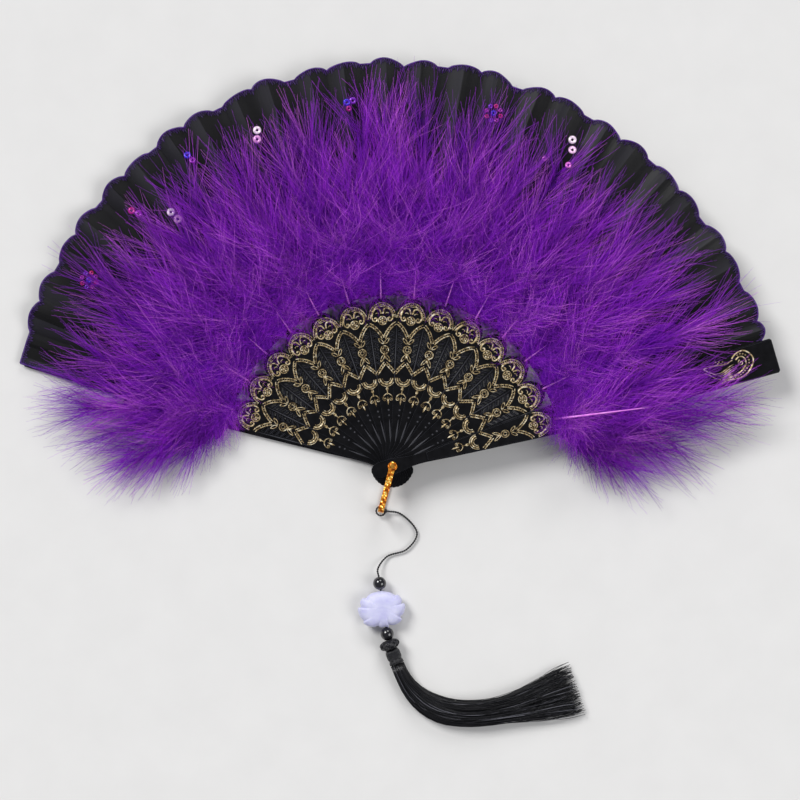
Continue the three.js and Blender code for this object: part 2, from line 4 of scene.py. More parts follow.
import bpy
import numpy as np
from mathutils import Vector
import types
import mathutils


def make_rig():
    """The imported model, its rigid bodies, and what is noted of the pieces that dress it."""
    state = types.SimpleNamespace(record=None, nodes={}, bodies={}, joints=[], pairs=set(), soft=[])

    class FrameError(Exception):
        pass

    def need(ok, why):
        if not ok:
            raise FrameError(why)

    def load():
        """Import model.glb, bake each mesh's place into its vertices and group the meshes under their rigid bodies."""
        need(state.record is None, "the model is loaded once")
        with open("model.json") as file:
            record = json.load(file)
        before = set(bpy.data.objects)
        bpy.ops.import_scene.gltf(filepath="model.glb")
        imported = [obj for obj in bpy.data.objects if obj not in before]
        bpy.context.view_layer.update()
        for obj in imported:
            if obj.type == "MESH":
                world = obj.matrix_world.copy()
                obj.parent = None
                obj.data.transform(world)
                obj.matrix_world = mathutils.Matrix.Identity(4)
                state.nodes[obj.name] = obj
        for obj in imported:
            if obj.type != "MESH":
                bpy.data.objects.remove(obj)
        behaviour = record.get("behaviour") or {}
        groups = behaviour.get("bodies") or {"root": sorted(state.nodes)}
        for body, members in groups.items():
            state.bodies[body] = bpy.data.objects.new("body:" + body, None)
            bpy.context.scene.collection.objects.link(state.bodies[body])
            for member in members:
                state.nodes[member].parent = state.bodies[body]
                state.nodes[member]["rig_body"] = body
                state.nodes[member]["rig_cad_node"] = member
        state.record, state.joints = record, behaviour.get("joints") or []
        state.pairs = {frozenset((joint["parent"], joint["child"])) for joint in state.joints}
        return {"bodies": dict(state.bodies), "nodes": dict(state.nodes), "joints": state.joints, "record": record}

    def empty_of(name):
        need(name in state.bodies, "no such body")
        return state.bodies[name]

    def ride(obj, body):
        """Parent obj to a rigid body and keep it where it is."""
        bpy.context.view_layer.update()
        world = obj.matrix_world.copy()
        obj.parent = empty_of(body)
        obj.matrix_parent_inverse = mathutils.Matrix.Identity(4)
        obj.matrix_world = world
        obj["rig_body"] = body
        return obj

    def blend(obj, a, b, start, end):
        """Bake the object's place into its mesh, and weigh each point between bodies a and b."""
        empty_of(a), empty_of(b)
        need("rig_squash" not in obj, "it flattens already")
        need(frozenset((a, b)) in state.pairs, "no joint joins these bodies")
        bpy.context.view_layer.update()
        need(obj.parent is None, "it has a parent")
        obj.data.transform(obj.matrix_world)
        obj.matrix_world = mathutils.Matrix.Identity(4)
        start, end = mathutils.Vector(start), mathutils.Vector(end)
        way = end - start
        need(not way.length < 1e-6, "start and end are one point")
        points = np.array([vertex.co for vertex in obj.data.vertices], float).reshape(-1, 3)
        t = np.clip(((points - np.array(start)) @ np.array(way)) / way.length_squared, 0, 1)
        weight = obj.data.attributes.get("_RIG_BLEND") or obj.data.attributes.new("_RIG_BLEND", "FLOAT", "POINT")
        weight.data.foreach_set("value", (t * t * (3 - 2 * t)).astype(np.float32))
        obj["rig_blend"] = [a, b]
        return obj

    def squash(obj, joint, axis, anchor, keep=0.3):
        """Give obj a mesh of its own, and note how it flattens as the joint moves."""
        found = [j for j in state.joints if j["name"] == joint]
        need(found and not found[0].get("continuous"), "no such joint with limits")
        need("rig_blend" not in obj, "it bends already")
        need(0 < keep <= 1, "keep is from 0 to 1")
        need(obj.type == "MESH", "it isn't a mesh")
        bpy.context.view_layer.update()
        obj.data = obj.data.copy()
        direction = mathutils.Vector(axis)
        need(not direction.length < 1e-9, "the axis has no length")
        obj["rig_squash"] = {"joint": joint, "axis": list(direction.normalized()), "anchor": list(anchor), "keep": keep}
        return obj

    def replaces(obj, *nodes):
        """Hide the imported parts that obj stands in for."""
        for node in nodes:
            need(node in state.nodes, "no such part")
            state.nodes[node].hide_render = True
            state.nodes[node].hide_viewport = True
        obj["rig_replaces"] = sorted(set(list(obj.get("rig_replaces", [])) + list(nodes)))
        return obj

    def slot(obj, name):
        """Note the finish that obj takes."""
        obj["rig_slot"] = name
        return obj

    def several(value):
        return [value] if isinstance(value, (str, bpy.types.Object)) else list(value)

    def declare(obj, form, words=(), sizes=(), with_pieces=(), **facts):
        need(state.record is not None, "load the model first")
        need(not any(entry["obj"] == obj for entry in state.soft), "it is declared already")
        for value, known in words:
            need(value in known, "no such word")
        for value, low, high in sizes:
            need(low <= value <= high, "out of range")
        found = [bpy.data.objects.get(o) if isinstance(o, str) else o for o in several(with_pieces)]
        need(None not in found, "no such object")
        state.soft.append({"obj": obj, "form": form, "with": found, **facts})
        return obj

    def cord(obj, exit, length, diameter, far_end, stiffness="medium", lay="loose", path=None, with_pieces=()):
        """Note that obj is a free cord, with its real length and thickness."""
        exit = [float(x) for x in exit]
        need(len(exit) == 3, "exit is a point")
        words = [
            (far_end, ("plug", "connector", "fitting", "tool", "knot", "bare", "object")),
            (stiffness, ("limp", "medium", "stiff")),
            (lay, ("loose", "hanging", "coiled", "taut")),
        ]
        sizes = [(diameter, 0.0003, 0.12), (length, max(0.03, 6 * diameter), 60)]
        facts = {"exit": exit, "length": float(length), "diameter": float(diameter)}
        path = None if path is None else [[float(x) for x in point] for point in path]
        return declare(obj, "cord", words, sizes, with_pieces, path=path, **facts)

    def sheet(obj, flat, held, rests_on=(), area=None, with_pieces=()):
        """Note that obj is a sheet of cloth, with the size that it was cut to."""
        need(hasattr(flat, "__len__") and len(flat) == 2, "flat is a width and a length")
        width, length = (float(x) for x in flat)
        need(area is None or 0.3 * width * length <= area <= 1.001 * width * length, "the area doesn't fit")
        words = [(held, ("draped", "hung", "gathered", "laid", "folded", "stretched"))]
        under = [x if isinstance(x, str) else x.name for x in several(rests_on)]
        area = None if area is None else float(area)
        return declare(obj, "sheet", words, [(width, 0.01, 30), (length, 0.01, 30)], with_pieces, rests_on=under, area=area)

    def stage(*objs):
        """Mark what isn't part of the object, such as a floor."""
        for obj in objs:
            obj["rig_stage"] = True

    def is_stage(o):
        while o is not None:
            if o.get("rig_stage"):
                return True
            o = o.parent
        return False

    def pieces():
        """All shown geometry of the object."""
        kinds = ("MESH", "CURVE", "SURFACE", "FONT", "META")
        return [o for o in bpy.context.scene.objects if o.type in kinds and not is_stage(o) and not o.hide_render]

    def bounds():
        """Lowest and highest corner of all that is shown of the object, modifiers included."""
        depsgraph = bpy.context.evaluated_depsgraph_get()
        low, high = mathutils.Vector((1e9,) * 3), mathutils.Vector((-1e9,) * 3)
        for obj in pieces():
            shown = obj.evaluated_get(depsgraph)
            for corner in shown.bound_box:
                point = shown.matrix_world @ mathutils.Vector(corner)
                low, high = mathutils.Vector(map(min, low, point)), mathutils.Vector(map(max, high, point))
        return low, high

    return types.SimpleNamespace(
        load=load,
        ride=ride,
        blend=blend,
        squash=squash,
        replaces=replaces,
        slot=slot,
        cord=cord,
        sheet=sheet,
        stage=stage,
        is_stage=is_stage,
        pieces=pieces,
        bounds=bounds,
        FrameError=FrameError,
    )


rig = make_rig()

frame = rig.load()
cad_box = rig.bounds()
scene = bpy.context.scene

MM = 0.001
TURN = 2 * math.pi
UP = np.array([0.0, 0.0, 1.0])
UV_LAYER = "OFBake"

# Sizes of the fan, in millimetres and radians, as in the CAD source
STICKS = 13
PITCH = math.radians(11.1)
FIRST = math.radians(16.2)
BACK = FIRST + PITCH * STICKS + math.radians(1.8)
STICK_THICK = 1.0
SLIP_THICK = 0.5
SLIP_HALF = 2.4
GUARD_THICK = 2.4
STACK_GAP = 0.12
GORGE_TOP = 93.5
GUARD_TIP = 220.0
GUARD_HALF = 8.3
GUARD_TIP_HALF = 9.7
LEAF_INNER = 94.3
LEAF_END = 215.0
LEAF_MIDDLE = 222.0
LEAF_THICK = 0.25
LEAF_GAP = 0.15
LEAF_MARGIN = 0.6
PLEAT_LEAST = 1.0
FOLD_SLOPE = 0.18
SCALLOP = 3.0


def angle_of(i):
    return FIRST + PITCH * i


def level_of(i):
    return GUARD_THICK + STACK_GAP + (STICKS - i) * (STICK_THICK + STACK_GAP)


def body_name(i):
    return "front_guard" if i == 0 else f"stick_{i:02d}"


def fold_joint(i):
    return "fold_front" if i == 0 else f"fold_{i:02d}"


FRONT_TOP = level_of(0) + GUARD_THICK
LEAF_REST = np.array(
    [level_of(0) - LEAF_GAP - LEAF_THICK]
    + [level_of(i) + SLIP_THICK + LEAF_GAP for i in range(1, STICKS + 1)]
)

# Camera, straight above the fan as in the photograph
camera_data = bpy.data.cameras.new("camera")
camera_data.lens = 121.0
camera_data.sensor_width = 36.0
camera = bpy.data.objects.new("camera", camera_data)
camera.location = (0.00416, 0.0366, 1.5)
scene.collection.objects.link(camera)
scene.camera = camera
scene.view_settings.view_transform = "Standard"


# Line helpers, for points in the plane or in space
def smooth_step(x, low, high):
    t = np.clip((x - low) / (high - low), 0, 1)
    return t * t * (3 - 2 * t)


def unit(v):
    return v / (np.linalg.norm(v, axis=-1, keepdims=True) + 1e-9)


def polar(radius, angle, z=0.0):
    """Points at a radius and an angle round Z."""
    return np.stack(np.broadcast_arrays(radius * np.cos(angle), radius * np.sin(angle), z), axis=-1)


def length_of(line):
    return float(np.linalg.norm(np.diff(line, axis=0), axis=1).sum())


def even(line, count):
    """A line sampled evenly by length."""
    gaps = np.linalg.norm(np.diff(line, axis=0), axis=1)
    way = np.concatenate([[0], np.cumsum(gaps)])
    spots = np.linspace(0, way[-1], count)
    return np.stack([np.interp(spots, way, column) for column in line.T], axis=1)


def through(*knots, count=40):
    """A centripetal Catmull-Rom curve through the knots, sampled evenly by length."""
    knots = [np.array(knot, dtype=float) for knot in knots]
    ends = [2 * knots[0] - knots[1], *knots, 2 * knots[-1] - knots[-2]]
    t = np.linspace(0, 1, 60)[:, None]
    out = []
    for p0, p1, p2, p3 in zip(ends, ends[1:], ends[2:], ends[3:]):
        d0, d1, d2 = (np.linalg.norm(b - a) ** 0.5 for a, b in ((p0, p1), (p1, p2), (p2, p3)))
        m1 = ((p1 - p0) / d0 - (p2 - p0) / (d0 + d1) + (p2 - p1) / d1) * d1
        m2 = ((p2 - p1) / d1 - (p3 - p1) / (d1 + d2) + (p3 - p2) / d2) * d1
        out.append(p1 + t * m1 + t**2 * (3 * (p2 - p1) - 2 * m1 - m2) + t**3 * (2 * (p1 - p2) + m1 + m2))
    return even(np.concatenate(out), count)


def curve(*knots, count=14):
    """A Bezier curve with the given control points."""
    t = np.linspace(0, 1, count)[:, None]
    last = len(knots) - 1
    return sum(
        math.comb(last, k) * t**k * (1 - t) ** (last - k) * np.asarray(knot, dtype=float)
        for k, knot in enumerate(knots)
    )


# Mesh helpers: points are given in millimetres, faces as lists of index arrays
def make(name, points, faces, materials, uv=None, slots=None, smooth=True):
    mesh = bpy.data.meshes.new(name)
    faces = [np.asarray(f, dtype=np.int32) for f in faces if len(f)]
    sizes = np.concatenate([np.full(len(f), f.shape[1]) for f in faces])
    corners = np.concatenate([f.ravel() for f in faces])
    mesh.vertices.add(len(points))
    mesh.vertices.foreach_set("co", (np.asarray(points) * MM).astype(np.float32).ravel())
    mesh.loops.add(len(corners))
    mesh.loops.foreach_set("vertex_index", corners)
    mesh.polygons.add(len(sizes))
    starts = np.concatenate([[0], np.cumsum(sizes)[:-1]]).astype(np.int32)
    mesh.polygons.foreach_set("loop_start", starts)
    mesh.polygons.foreach_set("use_smooth", np.full(len(sizes), smooth))
    if slots is not None:
        mesh.polygons.foreach_set("material_index", slots)
    if uv is not None:
        layer = mesh.uv_layers.new(name=UV_LAYER)
        layer.data.foreach_set("uv", np.asarray(uv)[corners].astype(np.float32).ravel())
    mesh.update(calc_edges=True)
    mesh.validate()
    for material in materials:
        mesh.materials.append(material)
    piece = bpy.data.objects.new(name, mesh)
    scene.collection.objects.link(piece)
    return piece


def stand_in(piece, body, node, slot):
    """A piece that rides on a body and is shown in place of a CAD node."""
    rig.ride(piece, body)
    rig.replaces(piece, node)
    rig.slot(piece, slot)
    return piece


def joined(parts):
    by_corners = {}
    count = 0
    for points, faces in parts:
        for face in faces:
            by_corners.setdefault(face.shape[1], []).append(face + count)
        count += len(points)
    return np.concatenate([p for p, _ in parts]), [np.concatenate(g) for g in by_corners.values()]


def mirrored(mesh, axes):
    points, faces = mesh
    return points * axes, [face[:, ::-1] for face in faces]


def toned(mesh, *values):
    """A mesh with UV values, each given once or for every run of its points."""
    count = len(mesh[0])
    return mesh, np.column_stack([np.repeat(value, count // np.size(value)) for value in values])


def second_slot(faces, first):
    """Material slots: 1 for the faces whose points all come from the given one on."""
    return np.concatenate([(face.min(axis=1) >= first).astype(np.int32) for face in faces])


def ring_quads(rings, sides, closed=False):
    """Faces between neighbouring rings of points, and from the last ring to the first if closed."""
    start = np.arange(rings if closed else rings - 1)[:, None] * sides
    a = (start + np.arange(sides)).ravel()
    b = (start + (np.arange(sides) + 1) % sides).ravel()
    total = rings * sides
    return np.stack([a, b, (b + sides) % total, (a + sides) % total], axis=1)


def tubes(lines, radii, sides=3):
    """Closed tubes along many lines at once: lines (n, k, 3), radii (n, k)."""
    n, k, _ = lines.shape
    along = unit(np.gradient(lines, axis=1))
    side = np.cross(along, UP)
    level = np.linalg.norm(side, axis=2, keepdims=True) > 1e-4
    side = np.where(level, unit(side), [1.0, 0.0, 0.0])
    rise = np.cross(side, along)
    turn = (np.arange(sides) + 0.5) * TURN / sides
    ring = np.cos(turn)[:, None] * side[:, :, None] + np.sin(turn)[:, None] * rise[:, :, None]
    points = (lines[:, :, None] + radii[:, :, None, None] * ring).reshape(-1, 3)
    caps = np.stack([np.arange(sides)[::-1], np.arange(sides) + (k - 1) * sides])
    offset = (np.arange(n) * k * sides)[:, None, None]
    return points, [(f[None] + offset).reshape(-1, f.shape[1]) for f in (ring_quads(k, sides), caps)]


def tube(line, radius, sides=6):
    return tubes(line[None], np.full((1, len(line)), radius), sides)


def spikes(base, way, length, radius):
    """Fine closed spikes: base and way (n, 3), length (n)."""
    side = unit(np.cross(way, [0.3, 0.2, 0.93]))
    rise = np.cross(side, way)
    corners = [base + radius * (math.cos(t) * side + math.sin(t) * rise) for t in np.arange(3) * TURN / 3]
    points = np.stack(corners + [base + way * length[:, None]], axis=1).reshape(-1, 3)
    face = np.array([[0, 2, 1], [0, 1, 3], [1, 2, 3], [2, 0, 3]])
    return points, [(face[None] + (np.arange(len(base)) * 4)[:, None, None]).reshape(-1, 3)]


def slab(top, bottom):
    """A closed sheet between two facing grids of points, each (rows, columns, 3)."""
    rows, columns, _ = top.shape
    points = np.concatenate([top.reshape(-1, 3), bottom.reshape(-1, 3)])
    below = rows * columns
    grid = np.arange(below).reshape(rows, columns)
    a, b = grid[:-1, :-1].ravel(), grid[:-1, 1:].ravel()
    c, d = grid[1:, 1:].ravel(), grid[1:, :-1].ravel()
    rim = np.concatenate([grid[0, :-1], grid[:-1, -1], grid[-1, :0:-1], grid[:0:-1, 0]])
    turned = np.roll(rim, -1)
    quads = np.concatenate([
        np.stack([a, d, c, b], axis=1),
        np.stack([a, b, c, d], axis=1) + below,
        np.stack([rim, turned, turned + below, rim + below], axis=1),
    ])
    return points, [quads]


def lathe(profile, sides):
    """A body turned round Z from a profile of (radius, z) pairs, whose end joins its start."""
    profile = np.asarray(profile, dtype=float)
    points = polar(profile[:, :1], np.arange(sides) * TURN / sides, profile[:, 1:])
    return points.reshape(-1, 3), [ring_quads(len(profile), sides, closed=True)]


def ringed(rings):
    """A closed body through rings of points (k, n, 3), with a point at each end."""
    k, n, _ = rings.shape
    m = np.arange(n)
    after = (m + 1) % n
    last = (k - 1) * n
    ends = np.concatenate([
        np.stack([np.full(n, k * n), after, m], axis=1),
        np.stack([np.full(n, k * n + 1), last + m, last + after], axis=1),
    ])
    points = np.concatenate([rings.reshape(-1, 3), rings[[0, -1]].mean(axis=1)])
    return points, [ring_quads(k, n), ends]


def turned_to(points, way, spot):
    """Points round the Z axis, laid along a level unit vector and moved to a spot."""
    return points @ np.stack([[-way[1], way[0], 0.0], UP, way]) + spot


def on_stick(i, points):
    """From a stick's own axes (along, across, up) to the fan; one past the last is the back guard."""
    a = angle_of(i) if i <= STICKS else BACK
    c, s = math.cos(a), math.sin(a)
    return points @ np.array([[c, s, 0.0], [-s, c, 0.0], UP])


# Materials
def srgb(*levels):
    shares = [v / 255.0 for v in levels]
    return (*(v / 12.92 if v <= 0.04045 else ((v + 0.055) / 1.055) ** 2.4 for v in shares), 1.0)


class Finish:
    """A node material with short ways to add the usual nodes."""

    def __init__(self, name, **sockets):
        self.material = bpy.data.materials.new(name)
        self.material.use_nodes = True
        self.tree = self.material.node_tree
        self.shader = next(n for n in self.tree.nodes if n.type == "BSDF_PRINCIPLED")
        for key, value in sockets.items():
            self.shader.inputs[key.replace("_", " ")].default_value = value

    def node(self, kind, **settings):
        made = self.tree.nodes.new(kind)
        for key, value in settings.items():
            if key in made.inputs:
                made.inputs[key].default_value = value
            else:
                setattr(made, key, value)
        return made

    def link(self, out, into):
        self.tree.links.new(out, into)

    def place(self, scale):
        coordinates = self.node("ShaderNodeTexCoord")
        mapping = self.node("ShaderNodeMapping", Scale=scale)
        self.link(coordinates.outputs["Object"], mapping.inputs["Vector"])
        return mapping.outputs["Vector"]

    def noise(self, scale, detail, stretch=(1.0, 1.0, 1.0)):
        made = self.node("ShaderNodeTexNoise", Scale=scale, Detail=detail, Roughness=0.55)
        self.link(self.place(stretch), made.inputs["Vector"])
        return made.outputs["Fac"]

    def mapped(self, axis):
        """One of the two values that the mesh keeps in its UV layer."""
        layer = self.node("ShaderNodeUVMap", uv_map=UV_LAYER)
        split = self.node("ShaderNodeSeparateXYZ")
        self.link(layer.outputs["UV"], split.inputs["Vector"])
        return split.outputs[axis]

    def worked(self, operation, *values):
        """A maths node on sockets and plain numbers."""
        made = self.node("ShaderNodeMath", operation=operation)
        for value, socket in zip(values, made.inputs):
            if isinstance(value, float):
                socket.default_value = value
            else:
                self.link(value, socket)
        return made.outputs["Value"]

    def ramp(self, value, *stops):
        """A colour ramp with stops of a position and an 8-bit colour."""
        made = self.node("ShaderNodeValToRGB")
        elements = made.color_ramp.elements
        while len(elements) < len(stops):
            elements.new(0.5)
        for element, (at, colour) in zip(elements, stops):
            element.position = at
            element.color = srgb(*colour)
        self.link(value, made.inputs["Fac"])
        return made.outputs["Color"]

    def colour(self, value, *stops):
        self.link(self.ramp(value, *stops), self.shader.inputs["Base Color"])

    def mixed(self, first, second, factor, kind="MIX"):
        made = self.node("ShaderNodeMix", data_type="RGBA", blend_type=kind)
        made.inputs["Factor"].default_value = factor
        self.link(first, made.inputs["A"])
        self.link(second, made.inputs["B"])
        self.link(made.outputs["Result"], self.shader.inputs["Base Color"])

    def rough(self, value, low, high):
        made = self.node("ShaderNodeMapRange")
        made.inputs["To Min"].default_value = low
        made.inputs["To Max"].default_value = high
        self.link(value, made.inputs["Value"])
        self.link(made.outputs["Result"], self.shader.inputs["Roughness"])

    def bump(self, value, distance, strength):
        made = self.node("ShaderNodeBump", Strength=strength, Distance=distance)
        self.link(value, made.inputs["Height"])
        self.link(made.outputs["Normal"], self.shader.inputs["Normal"])


def grained(name, grain, stops, rough, bump=None, **sockets):
    """A finish that follows one noise; bump holds a noise of its own or None, a depth and a strength."""
    finish = Finish(name, **sockets)
    value = finish.noise(*grain)
    finish.colour(value, *stops)
    finish.rough(value, *rough)
    if bump:
        own, depth, strength = bump
        finish.bump(finish.noise(*own) if own else value, depth, strength)
    return finish.material


def plastic_finish(name, tone):
    finish = Finish(name, IOR=1.46, Specular_IOR_Level=0.15)
    mottle = finish.noise(260.0, 5.0)
    plain = finish.ramp(mottle, (0.3, (tone, tone, tone + 2)), (0.7, (tone + 9, tone + 9, tone + 12)))
    # painted highlight: the edges are painted paler, where the rounded normal leaves the true one, as glints along them
    rounded = finish.node("ShaderNodeBevel", samples=6, Radius=0.0004)
    surface = finish.node("ShaderNodeNewGeometry")
    match = finish.node("ShaderNodeVectorMath", operation="DOT_PRODUCT")
    finish.link(rounded.outputs["Normal"], match.inputs[0])
    finish.link(surface.outputs["Normal"], match.inputs[1])
    painted_edge_glint = finish.ramp(match.outputs["Value"], (0.74, (56, 57, 64)), (0.94, (0, 0, 0)))
    finish.mixed(plain, painted_edge_glint, 1.0, "ADD")
    finish.rough(mottle, 0.3, 0.46)
    finish.bump(finish.noise(900.0, 3.0), 0.00004, 0.35)
    return finish.material


def hammered_finish():
    finish = Finish("hammered_gilt", Metallic=0.6)
    cells = finish.node("ShaderNodeTexVoronoi", Scale=620.0, feature="SMOOTH_F1", Smoothness=0.5)
    finish.link(finish.place((1.0, 1.0, 0.6)), cells.inputs["Vector"])
    dent_and_painted_glint = cells.outputs["Distance"]
    # painted light: across each dent the colour runs from a pale highlight in its middle to painted shade at its rim;
    # the same value bumps the real dents
    finish.colour(
        dent_and_painted_glint, (0.1, (255, 238, 166)), (0.36, (254, 190, 66)), (0.58, (224, 128, 28)), (0.85, (140, 64, 12)),
    )
    finish.rough(finish.noise(500.0, 4.0), 0.16, 0.3)
    finish.bump(dent_and_painted_glint, 0.0006, 1.0)
    return finish.material


def feather_finish():
    finish = Finish(
        "marabou", Roughness=0.6, IOR=1.35, Specular_IOR_Level=0.15,
        Sheen_Weight=0.12, Sheen_Roughness=0.4, Sheen_Tint=srgb(200, 120, 235),
    )
    tone = finish.ramp(
        finish.mapped("X"),
        (0.0, (42, 0, 104)), (0.4, (116, 10, 196)), (0.7, (162, 30, 224)), (1.0, (236, 130, 250)),
    )
    tip = finish.ramp(finish.mapped("Y"), (0.0, (104, 6, 184)), (1.0, (200, 80, 220)))
    finish.mixed(tone, tip, 0.3)
    return finish.material


def organza_finish():
    finish = Finish("organza", Roughness=0.5, Specular_IOR_Level=0.2, Sheen_Weight=0.06, Alpha=0.93)
    weave = finish.noise(900.0, 2.0)
    both = finish.worked("MULTIPLY", weave, finish.noise(60.0, 3.0))
    plain = finish.ramp(both, (0.12, (5, 4, 7)), (0.4, (20, 18, 24)))
    # painted light and shade: each half pleat is painted lit on one side of its fold and dark on the other
    half = finish.worked("FRACT", finish.worked("MULTIPLY", finish.mapped("X"), 2.0))
    pleat = finish.ramp(
        half, (0.0, (9, 9, 11)), (0.2, (4, 4, 5)), (0.49, (3, 3, 4)),
        (0.52, (44, 43, 49)), (0.7, (38, 37, 43)), (1.0, (14, 14, 16)),
    )
    finish.mixed(plain, pleat, 0.75)
    finish.bump(weave, 0.00006, 0.5)
    return finish.material


def thread_finish(name, dark, light, sheen):
    return grained(
        name, (700.0, 4.0), [(0.3, dark), (0.72, light)], (0.26, 0.5), (None, 0.00005, 0.4),
        Roughness=0.45, Sheen_Weight=sheen, Sheen_Roughness=0.3,
    )


def skirt_finish():
    finish = Finish("skirt_silk", Specular_IOR_Level=0.6)
    # painted highlight: the pale end of the ramp paints the glint of the shining threads
    finish.colour(
        finish.mapped("X"),
        (0.0, (4, 4, 6)), (0.6, (22, 22, 27)), (0.75, (60, 60, 66)), (1.0, (112, 112, 120)),
    )
    finish.rough(finish.noise(700.0, 4.0), 0.22, 0.45)
    return finish.material


def sequin_finish(name, *hues_and_glints):
    finish = Finish(name, Metallic=0.3, Coat_Weight=0.6, Coat_Roughness=0.1)
    finish.colour(finish.mapped("X"), *zip((0.1, 0.5, 0.9), hues_and_glints))
    finish.rough(finish.noise(500.0, 2.0), 0.12, 0.25)
    return finish.material


stick_plastic = plastic_finish("stick_plastic", 5)
guard_plastic = plastic_finish("guard_plastic", 6)
ridge_plastic = plastic_finish("ridge_plastic", 6)
# a pale plastic whose tone is painted highlight, for the ridge, studs and edge strips of each stick
painted_glint_plastic = plastic_finish("painted_glint_plastic", 52)
# the foil's noise is partly tone that differs at random and partly painted glints, its palest stop near white
gold_foil = grained(
    "gold_foil", (700.0, 6.0), [(0.38, (88, 70, 44)), (0.52, (196, 172, 124)), (0.68, (255, 246, 218))],
    (0.28, 0.5), ((1500.0, 3.0), 0.00003, 0.4), Metallic=0.55, IOR=1.6,
)
hammered = hammered_finish()
brass = grained(
    "rivet_brass", (800.0, 5.0, (1.0, 1.0, 4.0)), [(0.3, (176, 112, 34)), (0.7, (236, 178, 84))],
    (0.28, 0.5), (None, 0.00003, 0.4), Metallic=1.0,
)
marabou = feather_finish()
quill = grained(
    "quill", (380.0, 4.0, (1.0, 1.0, 0.3)), [(0.3, (222, 96, 226)), (0.7, (248, 156, 246))],
    (0.3, 0.45), IOR=1.45, Subsurface_Weight=0.1,
)
organza = organza_finish()
edging_thread = thread_finish("edging_thread", (30, 6, 64), (82, 26, 138), 0.1)
cord_silk = thread_finish("cord_silk", (9, 9, 11), (34, 34, 40), 0.2)
tassel_silk = thread_finish("tassel_silk", (7, 7, 9), (30, 30, 36), 0.12)
thread_silk = skirt_finish()
# painted highlight: the pink sequins' palest stops, near white, stand in for their glints
pink_sequin = sequin_finish("pink_sequin", (236, 120, 226), (255, 206, 246), (255, 240, 252))
violet_sequin = sequin_finish("violet_sequin", (190, 16, 104), (122, 24, 186), (44, 34, 206))
black_glass = grained(
    "black_glass", (300.0, 3.0), [(0.3, (8, 8, 11)), (0.7, (26, 26, 32))],
    (0.08, 0.16), IOR=1.52, Coat_Weight=0.6, Coat_Roughness=0.04,
)
lotus_resin = grained(
    "lotus_resin", (170.0, 5.0), [(0.28, (190, 189, 226)), (0.5, (201, 201, 231)), (0.75, (214, 214, 238))],
    (0.4, 0.55), ((800.0, 3.0), 0.00003, 0.3), IOR=1.5, Specular_IOR_Level=0.3,
    Subsurface_Weight=0.35, Subsurface_Radius=(1.0, 0.9, 1.2), Subsurface_Scale=0.0016,
)


# The cord: its route as in the CAD source, laid as a two-ply twist
CORD_RADIUS = 0.6
CORD_REST = 1.2
WRAP_RADIUS = 0.36
KNOT_RING = 2.5
BEAD = 3.7
BEAD_GAP = 0.3
LOTUS_TALL = 10.2
LOTUS_AT = 2 * BEAD + BEAD_GAP + LOTUS_TALL
LOWER_BEAD_AT = LOTUS_AT + LOTUS_TALL + BEAD_GAP + BEAD
KNOT_AT = LOWER_BEAD_AT + BEAD + BEAD_GAP
STRING_LEVEL = 5.2
STRING_ANGLE = math.radians(-81.66)
ring_centre = np.array([-6.5741, -25.2382, 2.6])
string_way = polar(1.0, STRING_ANGLE)
string_top = np.array([ring_centre[0] - 1.1, ring_centre[1] - 36.4, STRING_LEVEL])


def on_string(distance):
    return string_top + string_way * distance


def lay_rope(route, offset, radius, plies=2, lay=2.6):
    """Plies wound round a route: the lay is the length of one turn."""
    along = unit(np.gradient(route, axis=0))
    side = unit(np.cross(along, UP))
    rise = np.cross(side, along)
    turn = np.linspace(0, TURN * length_of(route) / lay, len(route))[:, None]
    lines = np.stack([
        route + offset * (np.cos(turn + a) * side + np.sin(turn + a) * rise)
        for a in np.arange(plies) * TURN / plies
    ])
    return tubes(lines, np.full(lines.shape[:2], radius), 6)


drop = CORD_REST - ring_centre[2]
cord_route = through(
    ring_centre + [KNOT_RING + CORD_RADIUS + BEAD_GAP / 2, 0.0, 0.0],
    ring_centre + [11.2, -1.7, drop],
    ring_centre + [20.2, -12.4, drop],
    ring_centre + [14.5, -21.4, drop],
    ring_centre + [3.4, -25.5, drop],
    on_string(-4.0) * [1, 1, 0.7],
    on_string(0.0),
    on_string(LOTUS_AT),
    on_string(KNOT_AT - BEAD_GAP / 2),
    count=420,
)
cord = make("cord_twist", *lay_rope(cord_route, 0.29, 0.31), [cord_silk])
stand_in(cord, "tassel", "cord", "cord")


def cord_loop():
    """The loop of cord round the bail, with its little knot."""
    turn = np.linspace(0, TURN, 90)
    parts = [lay_rope(ring_centre + polar(KNOT_RING, turn), 0.27, 0.3)]
    for k, size in enumerate((1.1, 1.35, 1.0)):
        spot = ring_centre + [2.1 + 0.55 * k, 0.0, 0.0]
        wrap = size * 0.62 * np.stack([0.25 * np.sin(turn), np.cos(turn), np.sin(turn)], axis=1)
        parts.append(tube(spot + wrap, WRAP_RADIUS))
    return joined(parts)


stand_in(make("cord_loop", *cord_loop(), [cord_silk]), "tassel", "cord_knot", "cord")


# Beads and lotus on the cord
def threaded(name, mesh, way, spot, material, node, slot):
    """A body round an axis that is strung on the cord or hangs from its end."""
    points, faces = mesh
    piece = make(name, turned_to(points, way, spot), faces, [material])
    return stand_in(piece, "tassel", node, slot)


def bead():
    bore, mouth, lip = 0.82, 1.0, 0.25
    start = math.asin(mouth / BEAD)
    turn = np.linspace(start, math.pi - start, 22)
    outer = np.stack([BEAD * np.sin(turn), -BEAD * np.cos(turn)], axis=1)
    return lathe(np.concatenate([outer, [[bore, outer[-1, 1] - lip], [bore, outer[0, 1] + lip]]]), 40)


strung = [
    threaded(f"{name}_glass", bead(), string_way, on_string(at), black_glass, name, "bead")
    for name, at in (("bead_upper", BEAD), ("bead_lower", LOWER_BEAD_AT))
]

